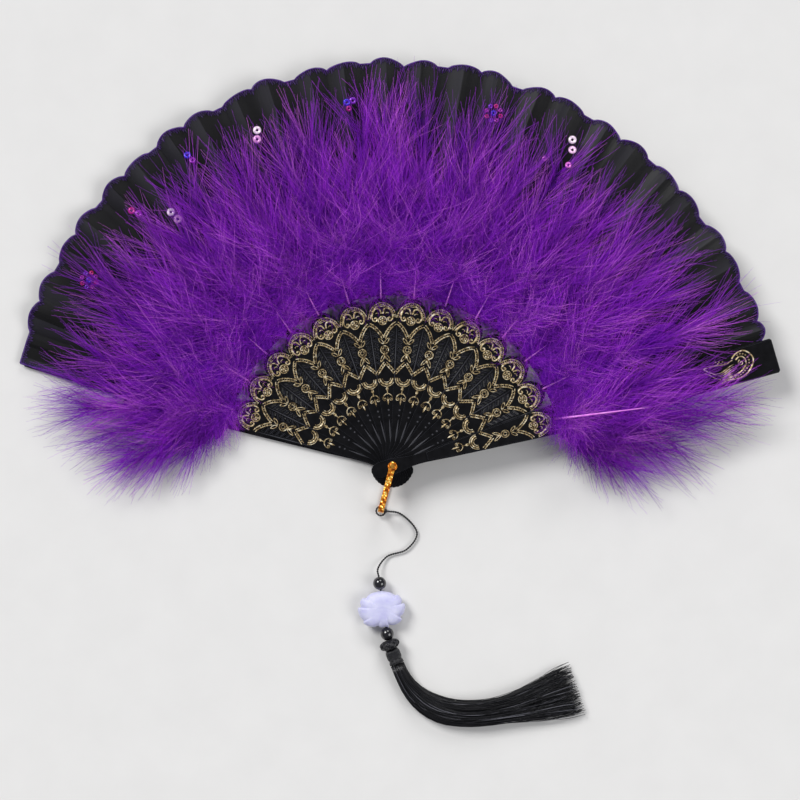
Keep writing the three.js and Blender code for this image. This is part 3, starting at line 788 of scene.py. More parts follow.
# Lobes of the carved lotus, clockwise from the top, from its centre
LOTUS_LOBES = (
    ((-9.85, 6.38), (-7.41, 8.1), (-3.94, 9.38), (-1.86, 9.77),
     (-1.17, 10.05), (0.36, 9.71), (3.69, 9.02), (6.5, 7.9)),
    ((6.7, 7.8), (8.24, 7.66), (9.74, 6.11), (10.35, 4.44), (10.13, 2.95)),
    ((10.6, 2.93), (11.68, 2.89), (12.13, 1.11), (11.79, -1.11), (10.96, -2.89), (9.8, -4.72)),
    ((9.91, -4.88), (10.3, -5.99), (8.69, -7.88), (5.91, -9.1), (3.36, -9.4)),
    ((3.25, -9.55), (2.91, -10.4), (1.19, -10.2), (-0.14, -10.5), (-1.58, -10.4), (-3.08, -9.9)),
    ((-3.25, -9.95), (-6.02, -10.27), (-9.07, -9.32), (-11.13, -7.99), (-11.24, -7.16)),
    ((-11.29, -7.05), (-13.0, -4.44), (-14.0, -1.94), (-14.2, -0.17), (-13.7, 0.6), (-12.8, 0.62)),
    ((-12.7, 0.89), (-12.9, 3.22), (-11.9, 5.44), (-10.02, 6.16)),
)
LOTUS_HALF = 4.5
NICK_SHARE = 0.965
GROOVE_WIDE = 0.42
GROOVE_DEEP = 0.08
VEIN_HIGH = 0.02


def lotus_body():
    """A flat dome inside the lobed outline, with a groove running in from each nick."""
    lobes = []
    for lobe in LOTUS_LOBES:
        knots = np.array(lobe)
        knots[[0, -1]] *= NICK_SHARE
        lobes.append(through(*knots, count=24))
    outline = np.concatenate(lobes)[::-1]
    share = 1 - np.linspace(0.97, 0, 26)[:, None] ** 1.7
    spots = share[..., None] * outline
    groove = np.zeros(spots.shape[:2])
    for lobe in lobes:
        nick = lobe[0]
        inward = nick * 0.6 + [0.6, -0.5] - nick
        t = np.clip(((spots - nick) @ inward) / (inward @ inward), 0, 1)
        away = np.linalg.norm(spots - nick - t[..., None] * inward, axis=2)
        groove = np.maximum(groove, np.exp(-((away / GROOVE_WIDE) ** 2)) * (1 - t) ** 0.7)
    vein = VEIN_HIGH * np.sin(2.6 * np.hypot(spots[..., 0], 1.3 * spots[..., 1] + 6))
    high = LOTUS_HALF * np.sqrt(1 - share**4) * (1 - GROOVE_DEEP * groove) + vein * (1 - share**6)
    high[-1] = 0
    front = np.concatenate([spots, high[..., None]], axis=2)
    return ringed(np.concatenate([front * [1, 1, -1], front[-2::-1]]))


points, faces = lotus_body()
lotus = make("lotus_petals", points + on_string(LOTUS_AT), faces, [lotus_resin])
strung.append(stand_in(lotus, "tassel", "lotus", "lotus_resin"))

# The tassel: button knot, bound head and skirt of threads
BUTTON_HALF = 2.2
BUTTON_WIDE = 5.3
BUTTON_CORE = 5.0
BUTTON_STRANDS = 9
BUTTON_LEVEL = 5.9
HEAD_AT = 4.7
HEAD_LEVEL = 4.6
HEAD_FROM = 0.4
HEAD_LONG = 8.4
SKIRT_AT = 9.3
SKIRT_HALF = 4.2
SKIRT_SWELL = 0.85
SKIRT_END_HALF = 15.5
SKIRT_HIGH = (3.99, 4.6, 2.6)
TASSEL_ANGLE = math.radians(-68.84)
tassel_way = polar(1.0, TASSEL_ANGLE)
knot_spot = on_string(KNOT_AT) * [1, 1, 0] + UP * BUTTON_LEVEL
head_spot = knot_spot * [1, 1, 0] + tassel_way * HEAD_AT + UP * HEAD_LEVEL


def button_knot():
    """Strands that cross over a core, both ways round."""
    t = np.linspace(0.06, math.pi - 0.06, 30)
    parts = []
    for k in range(BUTTON_STRANDS):
        sway = k * TURN / BUTTON_STRANDS + 1.5 * (t / math.pi - 0.5)
        for hand in (-1, 1):
            line = polar(BUTTON_WIDE * np.sin(t) ** 0.6, hand * sway, BUTTON_HALF * (1 - np.cos(t)))
            parts.append(tube(line, 0.48))
    t = np.linspace(0.05, math.pi - 0.05, 16)
    core = np.stack([BUTTON_CORE * np.sin(t) ** 0.6, BUTTON_HALF * (1 - np.cos(t))], axis=1)
    return joined([*parts, lathe(core, 32)])


def bound_head():
    """Threads drawn in at the top and under a binding of three turns, over a core."""
    t = np.linspace(0, 1, 14)
    r = 3.75 - 0.95 * np.exp(-((t / 0.12) ** 2)) - 0.5 * np.exp(-(((t - 0.74) / 0.1) ** 2))
    parts = [
        tube(polar(r, a + 0.12 * t, HEAD_FROM + HEAD_LONG * t), WRAP_RADIUS, 5)
        for a in np.linspace(0, TURN, 34, endpoint=False)
    ]
    turn = np.linspace(0, TURN, 60)
    for at in (0.68, 0.74, 0.8):
        rise = HEAD_FROM + HEAD_LONG * at + 0.15 * np.cos(turn)
        parts.append(tube(polar(3.35, turn, rise), WRAP_RADIUS))
    core = [[0.05, 0.3], [2.8, 0.3], [3.5, 2.0], [3.5, 5.0], [3.1, 6.2], [3.5, 8.4], [0.05, 8.8]]
    return joined([*parts, lathe(core, 28)])


button = threaded(
    "tassel_button", button_knot(), tassel_way, knot_spot, tassel_silk, "tassel_knot", "tassel_thread",
)
threaded("tassel_binding", bound_head(), tassel_way, head_spot, tassel_silk, "tassel_head", "tassel_thread")

skirt_top = (head_spot + tassel_way * SKIRT_AT) * [1, 1, 0]
skirt_end = skirt_top + [100.8, -13.2, 0.0]
skirt_pull = polar(55.0, math.radians(19))
skirt_line = curve(skirt_top, skirt_top + tassel_way * 40.0, skirt_end - skirt_pull, skirt_end, count=300)
skirt_line = even(skirt_line, 200)


def skirt_threads(count, stations):
    tone = np.random.default_rng(5)
    s = np.linspace(0, 1, stations)
    reach = tone.uniform(0.93, 1.0, count)[:, None] * s

    def at_reach(line):
        share = np.linspace(0, 1, len(line))
        return np.stack([np.interp(reach, share, column) for column in line.T], axis=2)

    spots = at_reach(skirt_line)
    ways = at_reach(unit(np.gradient(skirt_line, axis=0)))
    swell = smooth_step(reach, 0, 0.35)
    flare = smooth_step(reach, 0.55, 1)
    half = SKIRT_HALF * (1 + SKIRT_SWELL * swell)
    half = half + (SKIRT_END_HALF - SKIRT_HALF * (1 + SKIRT_SWELL)) * flare
    start, middle, end = SKIRT_HIGH
    high = (start + (middle - start) * swell) * (1 - flare) + end * flare
    turn = tone.uniform(0, TURN, count)[:, None]
    depth = np.sqrt(tone.uniform(0.02, 1, count))[:, None] * 0.95
    wander = sum(
        tone.normal(0, 0.075, (count, 1)) * np.sin(k * math.pi * s + tone.uniform(0, 6.28, (count, 1)))
        for k in (1, 2, 3)
    ) * smooth_step(s, 0.03, 0.3)
    across = np.clip(depth * np.cos(turn) + wander, -1, 1) * (half - 0.3)
    rise = np.clip(depth * np.sin(turn) + 0.6 * np.roll(wander, 7, axis=0), -0.92, 0.95)
    lines = np.stack([
        spots[:, :, 0] - ways[:, :, 1] * across,
        spots[:, :, 1] + ways[:, :, 0] * across,
        high * (1 + rise) + 0.15,
    ], axis=2)
    # painted highlight: one thread in ten is made pale as a shining strand
    painted_shine = np.where(tone.uniform(size=count) < 0.1, 0.95, tone.uniform(0.05, 0.6, count))
    radii = np.full((count, stations), 0.24) * (1 - 0.35 * s)
    return toned(tubes(lines, radii), painted_shine, np.tile(s, count))


mesh, uv = skirt_threads(420, 26)
skirt = make("tassel_threads", *mesh, [thread_silk], uv=uv)
stand_in(skirt, "tassel", "tassel_skirt", "tassel_thread")

cord_path = [tuple(p * MM) for p in (*cord_route[::10], cord_route[-1])]
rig.cord(
    cord, exit=cord_path[0], length=length_of(cord_route) * MM, diameter=2 * CORD_RADIUS * MM, far_end="knot",
    stiffness="limp", lay="loose", path=cord_path, with_pieces=[*strung, button],
)


# Gilt ornament printed on the sticks and guards, drawn in (along, across)
PRINT_BASE = 0.004
SHELL_AT = 81.2
ROSETTE_AT = 80.8
ROSE_AT = 64.6
CRESCENT_AT = 48.9


def arc(x, tall, start, end, count=26, wide=None):
    """An arc in degrees round a point of the middle line, less wide than tall if wide is given."""
    a = np.radians(np.linspace(start, end, count))
    return np.stack([x + tall * np.cos(a), (wide or tall) * np.sin(a)], axis=1)


def volute(x, y, radius, start, turns):
    t = np.linspace(0, 1, 26)
    return [x, y] + polar(radius * (1 - 0.82 * t), math.radians(start) + t * turns * TURN)[:, :2]


def left_of(line):
    way = unit(np.gradient(line, axis=0))
    return np.stack([-way[:, 1], way[:, 0]], axis=1)


def stroke(line, width, height=0.06, taper=False):
    """A low ridge along a line."""
    half = np.full(len(line), width / 2)
    if taper:
        half = half * (0.12 + np.sin(np.linspace(0, math.pi, len(line))) * 0.88)
    side = left_of(line) * half[:, None]

    def rails(share, z):
        level = np.full(len(line), z)
        return np.stack([np.column_stack([line + k * side, level]) for k in (share, -share)], axis=1)

    return slab(rails(0.62, height), rails(1.0, PRINT_BASE))


def dot(x, y, radius, height=0.07):
    turn = np.linspace(0, TURN, 12, endpoint=False)
    rows = ((1.0, PRINT_BASE), (0.92, height * 0.6), (0.5, height))
    return ringed(np.array([[x, y, 0.0] + polar(radius * k, turn, z) for k, z in rows]))


def ribbon(line, width):
    """A band drawn as two edge lines with a row of beads between them."""
    side = left_of(line) * (width / 2 - 0.2)
    beads = even(line, max(int(length_of(line) / 1.1), 3))[1:-1]
    return [stroke(line + side, 0.46), stroke(line - side, 0.46)] + [dot(x, y, 0.22) for x, y in beads]


def leaf_outline(base, tip, width):
    """A pointed leaf drawn as an outline."""
    base, tip = np.array(base), np.array(tip)
    side = left_of(np.array([base, tip]))[0] * width
    middle = (base + tip) / 2
    return [stroke(curve(base, middle + k * side, tip), 0.38) for k in (1, -1)]


def ornament():
    """The print of a stick: parts on its middle line, and parts that both halves have."""
    parts = []
    both = []
    # shell medallion: ribbed rim, a pair of scrolls that curl in, and a rosette
    parts += [stroke(arc(SHELL_AT, 9.6, -86, 86, 40, 7.8), 0.42)]
    parts += [stroke(arc(SHELL_AT, 8.3, -84, 84, 40, 6.7), 0.36)]
    for angle in np.radians(np.arange(-82, 83, 8)):
        c, s = math.cos(angle), math.sin(angle)
        knots = [(SHELL_AT + tall * c, wide * s) for tall, wide in ((8.5, 6.9), (9.0, 7.3), (9.4, 7.6))]
        parts += [stroke(curve(*knots, count=4), 0.3)]
    scroll = through(
        (84.6, 0.4), (87.2, 1.5), (87.6, 3.2), (85.8, 5.0), (83.0, 5.8), (80.9, 5.0), (80.6, 3.6),
        (81.7, 3.0), (82.5, 3.7), (81.9, 4.4), count=46,
    )
    both += [stroke(scroll, 0.7), stroke(curve((88.6, 0.0), (89.0, 1.8), (88.2, 3.4)), 0.36)]
    both += [stroke(curve((84.4, 1.6), (85.6, 2.4), (84.8, 3.6)), 0.4)]
    parts += [stroke(arc(ROSETTE_AT, 2.3, 0, 360), 0.5), dot(ROSETTE_AT, 0, 0.6)]
    parts += [dot(x, y, 0.5) for x, y in arc(ROSETTE_AT, 1.3, 0, 300, 6)]
    # gull-wing bracket
    both += ribbon(curve((71.1, 0.3), (74.6, 2.2), (77.6, 4.2), (79.0, 7.4)), 1.75)
    # pair of leaves, rose, and a second pair
    both += leaf_outline((67.9, 0.25), (71.0, 3.0), 1.5)
    parts += [stroke(arc(ROSE_AT, 2.2, 0, 360), 0.42), stroke(arc(ROSE_AT, 1.0, 0, 330, 16), 0.36)]
    parts += [dot(x, y, 0.2) for x, y in arc(ROSE_AT, 1.6, 17.2, 332.3, 9)]
    both += leaf_outline((62.2, 0.25), (57.9, 2.6), 1.3)
    parts += [stroke(curve((62.0, 0), (60.8, 0), (59.4, 0)), 0.5, taper=True)]
    # chevron
    both += ribbon(curve((57.3, 0.2), (55.8, 1.7), (53.4, 3.4), (51.2, 5.1)), 1.7)
    # crescent
    parts += [stroke(arc(CRESCENT_AT, 4.6, 92, 268, 30), 0.38), stroke(arc(CRESCENT_AT, 3.5, 92, 268), 0.8)]
    parts += [stroke(arc(CRESCENT_AT, 2.3, 94, 266, 20), 0.34)]
    # stem and trefoil
    parts += [stroke(curve((44.0, 0), (42.2, 0), (39.8, 0)), 0.42), dot(42.6, 0, 0.45)]
    both += [stroke(curve((43.8, 0.3), (42.8, 0.9), (42.0, 0.3)), 0.3)]
    both += [stroke(curve((40.3, 0.2), (40.1, 1.6), (38.5, 2.9), (37.1, 2.6)), 0.42)]
    both += [stroke(volute(37.3, 1.75, 1.1, 40, 1.4), 0.36)]
    parts += [stroke(curve((38.6, 0), (36.4, 0), (34.0, 0)), 0.8, taper=True)]
    for part in both:
        parts += [part, mirrored(part, [1, -1, 1])]
    return joined(parts)


def slot_ribs():
    """The fine moulded ribs between the slots."""
    inner, lean, margin = 3.0, 1.6, 1.0
    parts = []
    for at in np.linspace(57.5, 72.5, 6) - 0.95:
        outer = 4.4 + 3.8 * (at + lean - 36) / 48 - margin
        for hand in (-1, 1):
            knots = (at, inner), (at + lean / 2, (inner + outer) / 2), (at + lean, outer)
            parts.append(stroke(curve(*knots, count=6) * [1, hand], 0.42, 0.09))
    return parts


def glint_ridges():
    """The moulded ridge and studs near the pivot, and strips on the lit edges of the gorge, all in a pale plastic that
    is painted highlight.
    """
    parts = [stroke(curve((9.5, 0), (18, 0), (26, 0)), 0.8, 0.07, taper=True)]
    parts += [dot(28.2, 0, 0.45, 0.08), dot(31.2, 0, 0.5, 0.08)]
    edge = curve((47, 4.95), (62, 6.14), (77, 7.32))
    return parts + [stroke(edge * [1, hand], 0.34, 0.04, taper=True) for hand in (-1, 1)]


def guard_tip_scroll():
    """A paisley scroll: beaded band, inner curl, barbs and a tail."""
    band = through(
        (195.9, 4.9), (198.7, 6.9), (203.3, 7.4), (206.5, 4.6), (207.3, 1.5), (205.2, -2.4),
        (201.3, -5.5), (196.2, -6.5), (191.3, -6.0), (186.7, -6.6), count=60,
    )
    inner = through(
        (197.7, 3.5), (200.3, 4.9), (202.5, 3.6), (202.9, 0.3), (200.4, -2.4), (197.0, -4.0),
        (192.3, -4.9), (187.9, -5.1), count=50,
    )
    parts = [stroke(band, 0.72), stroke(inner, 0.66)]
    parts += [dot(x, y, 0.42) for x, y in even((band[6:46] + inner[4:44]) / 2, 15)]
    parts += [stroke(volute(200.2, 1.4, 1.7, 100, 1.2), 0.45)]
    for shift in np.arange(0, 5, 0.95):
        barb = curve(
            (196.4 - 0.1 * shift**2, 1.6 - 1.15 * shift), (192.6, 1.4 - 1.15 * shift),
            (190.0, -1.6 - 0.9 * shift), (185.4 + 0.7 * shift, -1.0 - 0.95 * shift),
        )
        parts += [stroke(barb, 0.55, taper=True)]
    parts += [dot(186.8 + 0.95 * k, 4.9 + 0.5 * (-1) ** k - 0.2 * k, 0.4) for k in range(6)]
    parts += [stroke(through((179.5, 3.6), (184.4, 3.7), (192.0, 2.9), (196.0, 4.0)), 0.45)]
    parts += [stroke(through((179.3, 3.4), (182.2, 0.8), (185.6, -1.6)), 0.4)]
    parts += [stroke(through((179.1, 1.3), (181.8, -0.6), (184.4, -3.2), (186.9, -4.6)), 0.4)]
    return joined(parts)


def printed(name, i, level, body, mesh, materials, slot, slots=None):
    points, faces = mesh
    piece = make(name, on_stick(i, points) + UP * level, faces, materials, slots=slots, smooth=False)
    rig.ride(piece, body)
    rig.slot(piece, slot)


stick_print = ornament()
ribs = slot_ribs()
relief = joined(ribs + glint_ridges())
# slot 1 holds the painted highlight plastic of the ridge, studs and edge strips
relief_slots = second_slot(relief[1], sum(len(points) for points, _ in ribs))
for i in range(1, STICKS + 1):
    place = (i, level_of(i) + STICK_THICK, body_name(i))
    printed(f"gilt_{i:02d}", *place, stick_print, [gold_foil], "gilt_metal")
    printed(f"ridge_{i:02d}", *place, relief, [ridge_plastic, painted_glint_plastic], "stick_plastic", relief_slots)

slim_print = (stick_print[0] * [1.0, 0.88, 1.0], stick_print[1])
guard_print = joined([slim_print, guard_tip_scroll()])
back_print = mirrored(guard_print, [1, 1, -1])
printed("gilt_front_guard", 0, FRONT_TOP, "front_guard", guard_print, [gold_foil], "gilt_metal")
printed("gilt_back_guard", STICKS + 1, 0.0, "back_guard", back_print, [gold_foil], "gilt_metal")


# The pleated leaf
LEAF_FACES = (0.2, 0.09)
PANEL_TURNS = np.concatenate([[0, 0], np.linspace(0, 2, 21), [2, 2]])
PANEL_ROWS = np.concatenate([np.linspace(0, 0.8, 12), np.linspace(0.82, 1, 10)])
TAIL_ROWS = np.linspace(0, 1, 16)
TAIL_REST = 2.6
TAIL_STEP = (3.0, 5.0)
CREASE_HIGH = 1.2
FLUTTER = 0.9
STITCH = 0.65
HEM_LIFT = 0.05
HEM_SHARE = 0.6


def guard_half(r):
    return GUARD_HALF + (GUARD_TIP_HALF - GUARD_HALF) * (r - GORGE_TOP) / (GUARD_TIP - GORGE_TOP)


def flat_width(i, r):
    return LEAF_MARGIN + np.where(np.asarray(i) == 0, guard_half(r), SLIP_HALF)


def leaf_free(i, r):
    return np.maximum(PITCH * r - flat_width(i, r) - flat_width(i + 1, r), PLEAT_LEAST)


def ridge_at(i, r):
    return np.clip((PITCH * r / 2 - flat_width(i, r)) / leaf_free(i, r), 0.1, 0.9)


def pleat_height(i, r, f):
    ridge = ridge_at(i, r)
    rise = FOLD_SLOPE * leaf_free(i, r) * np.minimum(ridge, 1 - ridge)
    base = LEAF_REST[i] + (LEAF_REST[i + 1] - LEAF_REST[i]) * f
    return base + rise * np.minimum(f / ridge, (1 - f) / (1 - ridge))


def crease(turn, down):
    """The smaller fold along the middle of each half pleat, fading out inwards."""
    return CREASE_HIGH * (1 - np.abs(2 * (turn % 1) - 1)) * smooth_step(down, 0.4, 0.95)


def leaf_top(r, angle):
    place = np.clip((angle - FIRST) / PITCH, 0, STICKS)
    i = np.minimum(place.astype(int), STICKS - 1)
    f = np.clip(((place - i) * PITCH * r - flat_width(i, r)) / leaf_free(i, r), 0, 1)
    ridge = ridge_at(i, r)
    turn = np.where(f < ridge, f / ridge, 1 + (f - ridge) / (1 - ridge))
    down = (r - LEAF_INNER) / (LEAF_MIDDLE - LEAF_INNER)
    return pleat_height(i, r, f) + crease(turn, down) + LEAF_THICK


def leaf_reach(angle):
    span = np.clip((angle - FIRST) / (PITCH * STICKS), 0, 1)
    return LEAF_END + (LEAF_MIDDLE - LEAF_END) * np.sin(math.pi * span)


def pleat_grid(i, lift):
    """Points of the pleat between sticks i and i + 1."""
    turn = PANEL_TURNS[None, :]
    down = PANEL_ROWS[:, None]
    place = i + turn / 2
    uneven = (0.9 * np.sin(4.7 * place) + 0.7 * np.sin(8.3 * place + 1)) * np.sin(math.pi * place / STICKS)
    edge = leaf_reach(angle_of(i) + PITCH * turn / 2) + uneven
    edge = edge + SCALLOP * np.abs(np.sin(math.pi * turn)) ** 0.7
    r = LEAF_INNER + (edge - LEAF_INNER) * down
    ridge = ridge_at(i, r)
    f = np.where(turn < 1, ridge * turn, ridge + (1 - ridge) * (turn - 1))
    offset = flat_width(i, r) + f * leaf_free(i, r)
    offset[:, 0] = 0
    offset[:, 1] = flat_width(i, r[:, 1]) * 0.5
    offset[:, -2] = PITCH * r[:, -2] - flat_width(i + 1, r[:, -2]) * 0.5
    offset[:, -1] = PITCH * r[:, -1]
    flutter = FLUTTER * np.sin(TURN * turn + i) * smooth_step(down, 0.72, 1)
    flutter = flutter * np.sin(math.pi * np.clip(turn / 2, 0, 1))
    z = pleat_height(i, r, f) + crease(turn, down) + flutter + lift
    return polar(r, angle_of(i) + offset / r, z)


def leaf_tail(lift):
    """Points of the end that is turned down on to the back guard."""
    r = LEAF_INNER + (LEAF_END - LEAF_INNER) * TAIL_ROWS[:, None]
    edge = (BACK - angle_of(STICKS)) * r + guard_half(r) - 1
    near, far = TAIL_STEP
    offset = np.concatenate([0 * r, 0 * r + near, 0 * r + far, (edge + far) / 2, edge], axis=1)
    z = np.array([LEAF_REST[-1]] * 2 + [TAIL_REST] * 3) + lift
    return polar(r, angle_of(STICKS) + offset / r, z)


def inset(uv):
    """UV values kept a little inside the unit square."""
    return uv * 0.96 + 0.02


def panel_uv(rows, turns):
    """Each point's place across and down a panel, for both of its faces."""
    across, down = np.meshgrid(turns, rows)
    return inset(np.tile(np.column_stack([across.ravel(), down.ravel()]), (2, 1)))


def grid_area(grid):
    corner, across = grid[:-1, :-1], grid[1:, 1:] - grid[:-1, :-1]
    a = np.cross(grid[1:, :-1] - corner, across)
    b = np.cross(across, grid[:-1, 1:] - corner)
    return float((np.linalg.norm(a, axis=2) + np.linalg.norm(b, axis=2)).sum() / 2)


def edging(edge, inner):
    """Overlock stitches: a cord along the edge, and a thread that goes to and fro over the hem."""
    count = max(int(length_of(edge) / STITCH), 8)
    outside, inside = even(edge, count), even(inner, count)
    step = np.arange(count)
    share = np.where(step % 2, 0.04, 0.5 + 0.14 * np.sin(0.9 * step))[:, None]
    stitch = outside + (inside - outside) * share + UP * (HEM_LIFT + 0.1)
    return joined([tube(outside + UP * HEM_LIFT, 0.5), tube(stitch, 0.3, 5)])


def hung(piece, bodies, ends, node=None):
    """A piece of the leaf that bends between two bodies."""
    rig.blend(piece, *bodies, *ends)
    if node:
        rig.replaces(piece, node)
    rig.slot(piece, "organza")
    return piece


def as_sheet(piece, top, length, bodies, extra):
    width = max(length_of(row) for row in top)
    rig.sheet(
        piece, flat=(width * MM, length * MM), held="folded", rests_on=list(bodies),
        area=grid_area(top) * MM**2, with_pieces=extra,
    )


# Sequins, placed by pixels of the photograph as (x, y, size, hue and glint); on the pink ones the paler values are
# painted highlight
PIXEL = 0.555
PIVOT_PIXEL = (392.5, 466)


def sequin_flower(x, y):
    """A ring of small sequins round a bluer one."""
    turns = np.radians(np.arange(20, 380, 45))
    return [(x, y, 0.75, 0.95)] + [
        (x + 7.5 * math.cos(t), y + 7.5 * math.sin(t), 0.56, 0.1 + 0.5 * (k % 3) / 2)
        for k, t in enumerate(turns)
    ]


PINK = (
    (258, 132, 1, 0.8), (258, 141, 1, 0.3), (172, 213, 1, 0.8), (179, 220, 1, 0.4),
    (571, 142, 1, 0.8), (571, 152, 1, 0.5), (567, 167, 0.8, 0.1), (543, 161, 0.6, 0.0),
)
VIOLET = (
    (347, 104, 0.9, 0.9), (353, 102, 0.9, 0.5), (349, 110, 0.7, 0.2), (132, 211, 0.9, 0.2),
    (139, 214, 0.9, 0.4), (188, 156, 0.9, 0.9), (193, 161, 0.8, 0.4),
    *sequin_flower(493, 115), *sequin_flower(89, 280),
)


def sequin(spot, tilt, size):
    points, faces = lathe([[0.7, 0.0], [1.4, 0.2], [2.25, 0.1], [2.3, 0.2], [1.4, 0.34], [0.7, 0.14]], 20)
    c, s = math.cos(tilt), math.sin(tilt)
    return points @ np.array([[1, 0, 0], [0, c, s], [0, -s, c]]) * size + spot, faces


def sequins_by_pleat():
    """Sequins with their hues and painted glints, grouped by pleat and tint; the pink ones stand higher in the down."""
    tilts = np.random.default_rng(20)
    groups = {}
    for tint, (places, rise) in enumerate(((PINK, 6.2), (VIOLET, 2.4))):
        for across, down, size, hue_and_glint in places:
            x, y = (across - PIVOT_PIXEL[0]) * PIXEL, (PIVOT_PIXEL[1] - down) * PIXEL
            angle = math.atan2(y, x)
            pleat = min(int((angle - FIRST) / PITCH), STICKS - 1)
            z = float(leaf_top(np.array([math.hypot(x, y)]), np.array([angle]))[0]) + rise
            part = sequin(np.array([x, y, z]), tilts.uniform(-0.3, 0.3), size)
            groups.setdefault((pleat, tint), []).append((part, hue_and_glint))
    return groups


spangles = sequins_by_pleat()
for i in range(STICKS):
    middle = angle_of(i) + PITCH / 2
    out, across = polar(0.16, middle), polar(0.009, middle + TURN / 4)
    ends = (tuple(out - across), tuple(out + across))
    bodies = (body_name(i), body_name(i + 1))
    top, bottom = (pleat_grid(i, lift) for lift in LEAF_FACES)
    uv = panel_uv(PANEL_ROWS, PANEL_TURNS / 2)
    panel = make(f"leaf_panel_{i + 1:02d}", *slab(top, bottom), [organza], uv=uv, smooth=False)
    hung(panel, bodies, ends, f"leaf_{i + 1:02d}")
    trim = make(f"leaf_edging_{i + 1:02d}", *edging(top[-1], top[-3]), [edging_thread])
    extra = [hung(trim, bodies, ends)]
    for tint, finish in enumerate((pink_sequin, violet_sequin)):
        if (i, tint) in spangles:
            parts, hues_and_glints = zip(*spangles[(i, tint)])
            mesh, uv = toned(joined(parts), hues_and_glints, hues_and_glints)
            spots = make(f"sequins_{i + 1:02d}_{tint}", *mesh, [finish], uv=uv)
            extra.append(hung(spots, bodies, ends))
    as_sheet(panel, top, LEAF_MIDDLE + SCALLOP - LEAF_INNER, bodies, extra)

bodies = ("stick_13", "back_guard")
out, across = polar(0.15, angle_of(STICKS)), polar(1.0, angle_of(STICKS) + TURN / 4)
ends = (tuple(out + across * 0.0025), tuple(out + across * 0.008))
top, bottom = (leaf_tail(lift) for lift in LEAF_FACES)
uv = panel_uv(TAIL_ROWS, np.linspace(0, 0.3, 5))
tail = make("leaf_tail", *slab(top, bottom), [organza], uv=uv, smooth=False)
hung(tail, bodies, ends, "leaf_end")
hem = top[-1] + (top[-2] - top[-1]) * HEM_SHARE
side = top[-6:, -1][::-1]
side_hem = side + (top[-6:, -2][::-1] - side) * HEM_SHARE
trim = make("leaf_edging_tail", *joined([edging(top[-1], hem), edging(side, side_hem)]), [edging_thread])
as_sheet(tail, top, LEAF_END - LEAF_INNER, bodies, [hung(trim, bodies, ends)])


# The plumes: shafts in a fan, given by direction in degrees and length
PLUME_FROM = 94.6
MIDDLE_FAN = ((-21, 60), (-10, 82), (0, 92), (10, 82), (21, 60))
OUTER_FAN = ((-31, 64), (-39, 55), (-47, 46), (-56, 36), (-67, 25))
RIGHT_FAN = ((11, 53), (2, 69), (-7, 86), (-15, 80), (-23, 73), *OUTER_FAN)
LEFT_FAN = ((11, 62), (2, 74), (-7, 76), (-14, 79), (-22, 75), *OUTER_FAN)
PLUME_TOP = 9.5
FLOOR_CLEAR = 0.6
HAIR_CLEAR = 0.1
RIGHT_LEVEL = 2.0
RIGHT_FALL = 34
LEFT_DROP = 2.2
LEFT_FALL = 12
SQUASH_FOOT = 0.9


def plume_seat(i, xyz):
    """Height of what lies under the plume; beyond the guards it sinks towards the floor."""
    r = np.hypot(xyz[..., 0], xyz[..., 1])
    angle = np.arctan2(xyz[..., 1], xyz[..., 0])
    angle = np.where(angle < -2.0, angle + TURN, angle)
    seat = leaf_top(r, angle)
    if i == 0:
        seat = np.maximum(seat, FRONT_TOP + 0.1)
        beyond = (FIRST - angle) * r - guard_half(r)
        seat = seat - (FRONT_TOP - RIGHT_LEVEL) * smooth_step(beyond, 0, RIGHT_FALL)
    beyond = (angle - BACK) * r - guard_half(r)
    return np.where(beyond > 0, seat - LEFT_DROP * smooth_step(beyond, 0, LEFT_FALL), seat)


def grown(base, heading, slope, length):
    """Lines that start at a base and follow a heading and a slope at each step."""
    step = (length / (heading.shape[1] - 1))[:, None]
    steps = polar(step * np.cos(slope), heading, step * np.sin(slope))
    moved = np.cumsum(steps[:, :-1], axis=1)
    return base[:, None] + np.concatenate([np.zeros((len(base), 1, 3)), moved], axis=1)


def painted_light_patches(lines):
    """Painted light and shade: lighter and darker patches by the place of each line's foot."""
    x, y = lines[:, 0, 0] / 5.0, lines[:, 0, 1] / 5.0
    return 0.16 * (np.sin(x + 1.7 * np.sin(0.6 * y)) + np.sin(1.3 * y + 1.4 * np.sin(0.7 * x)))


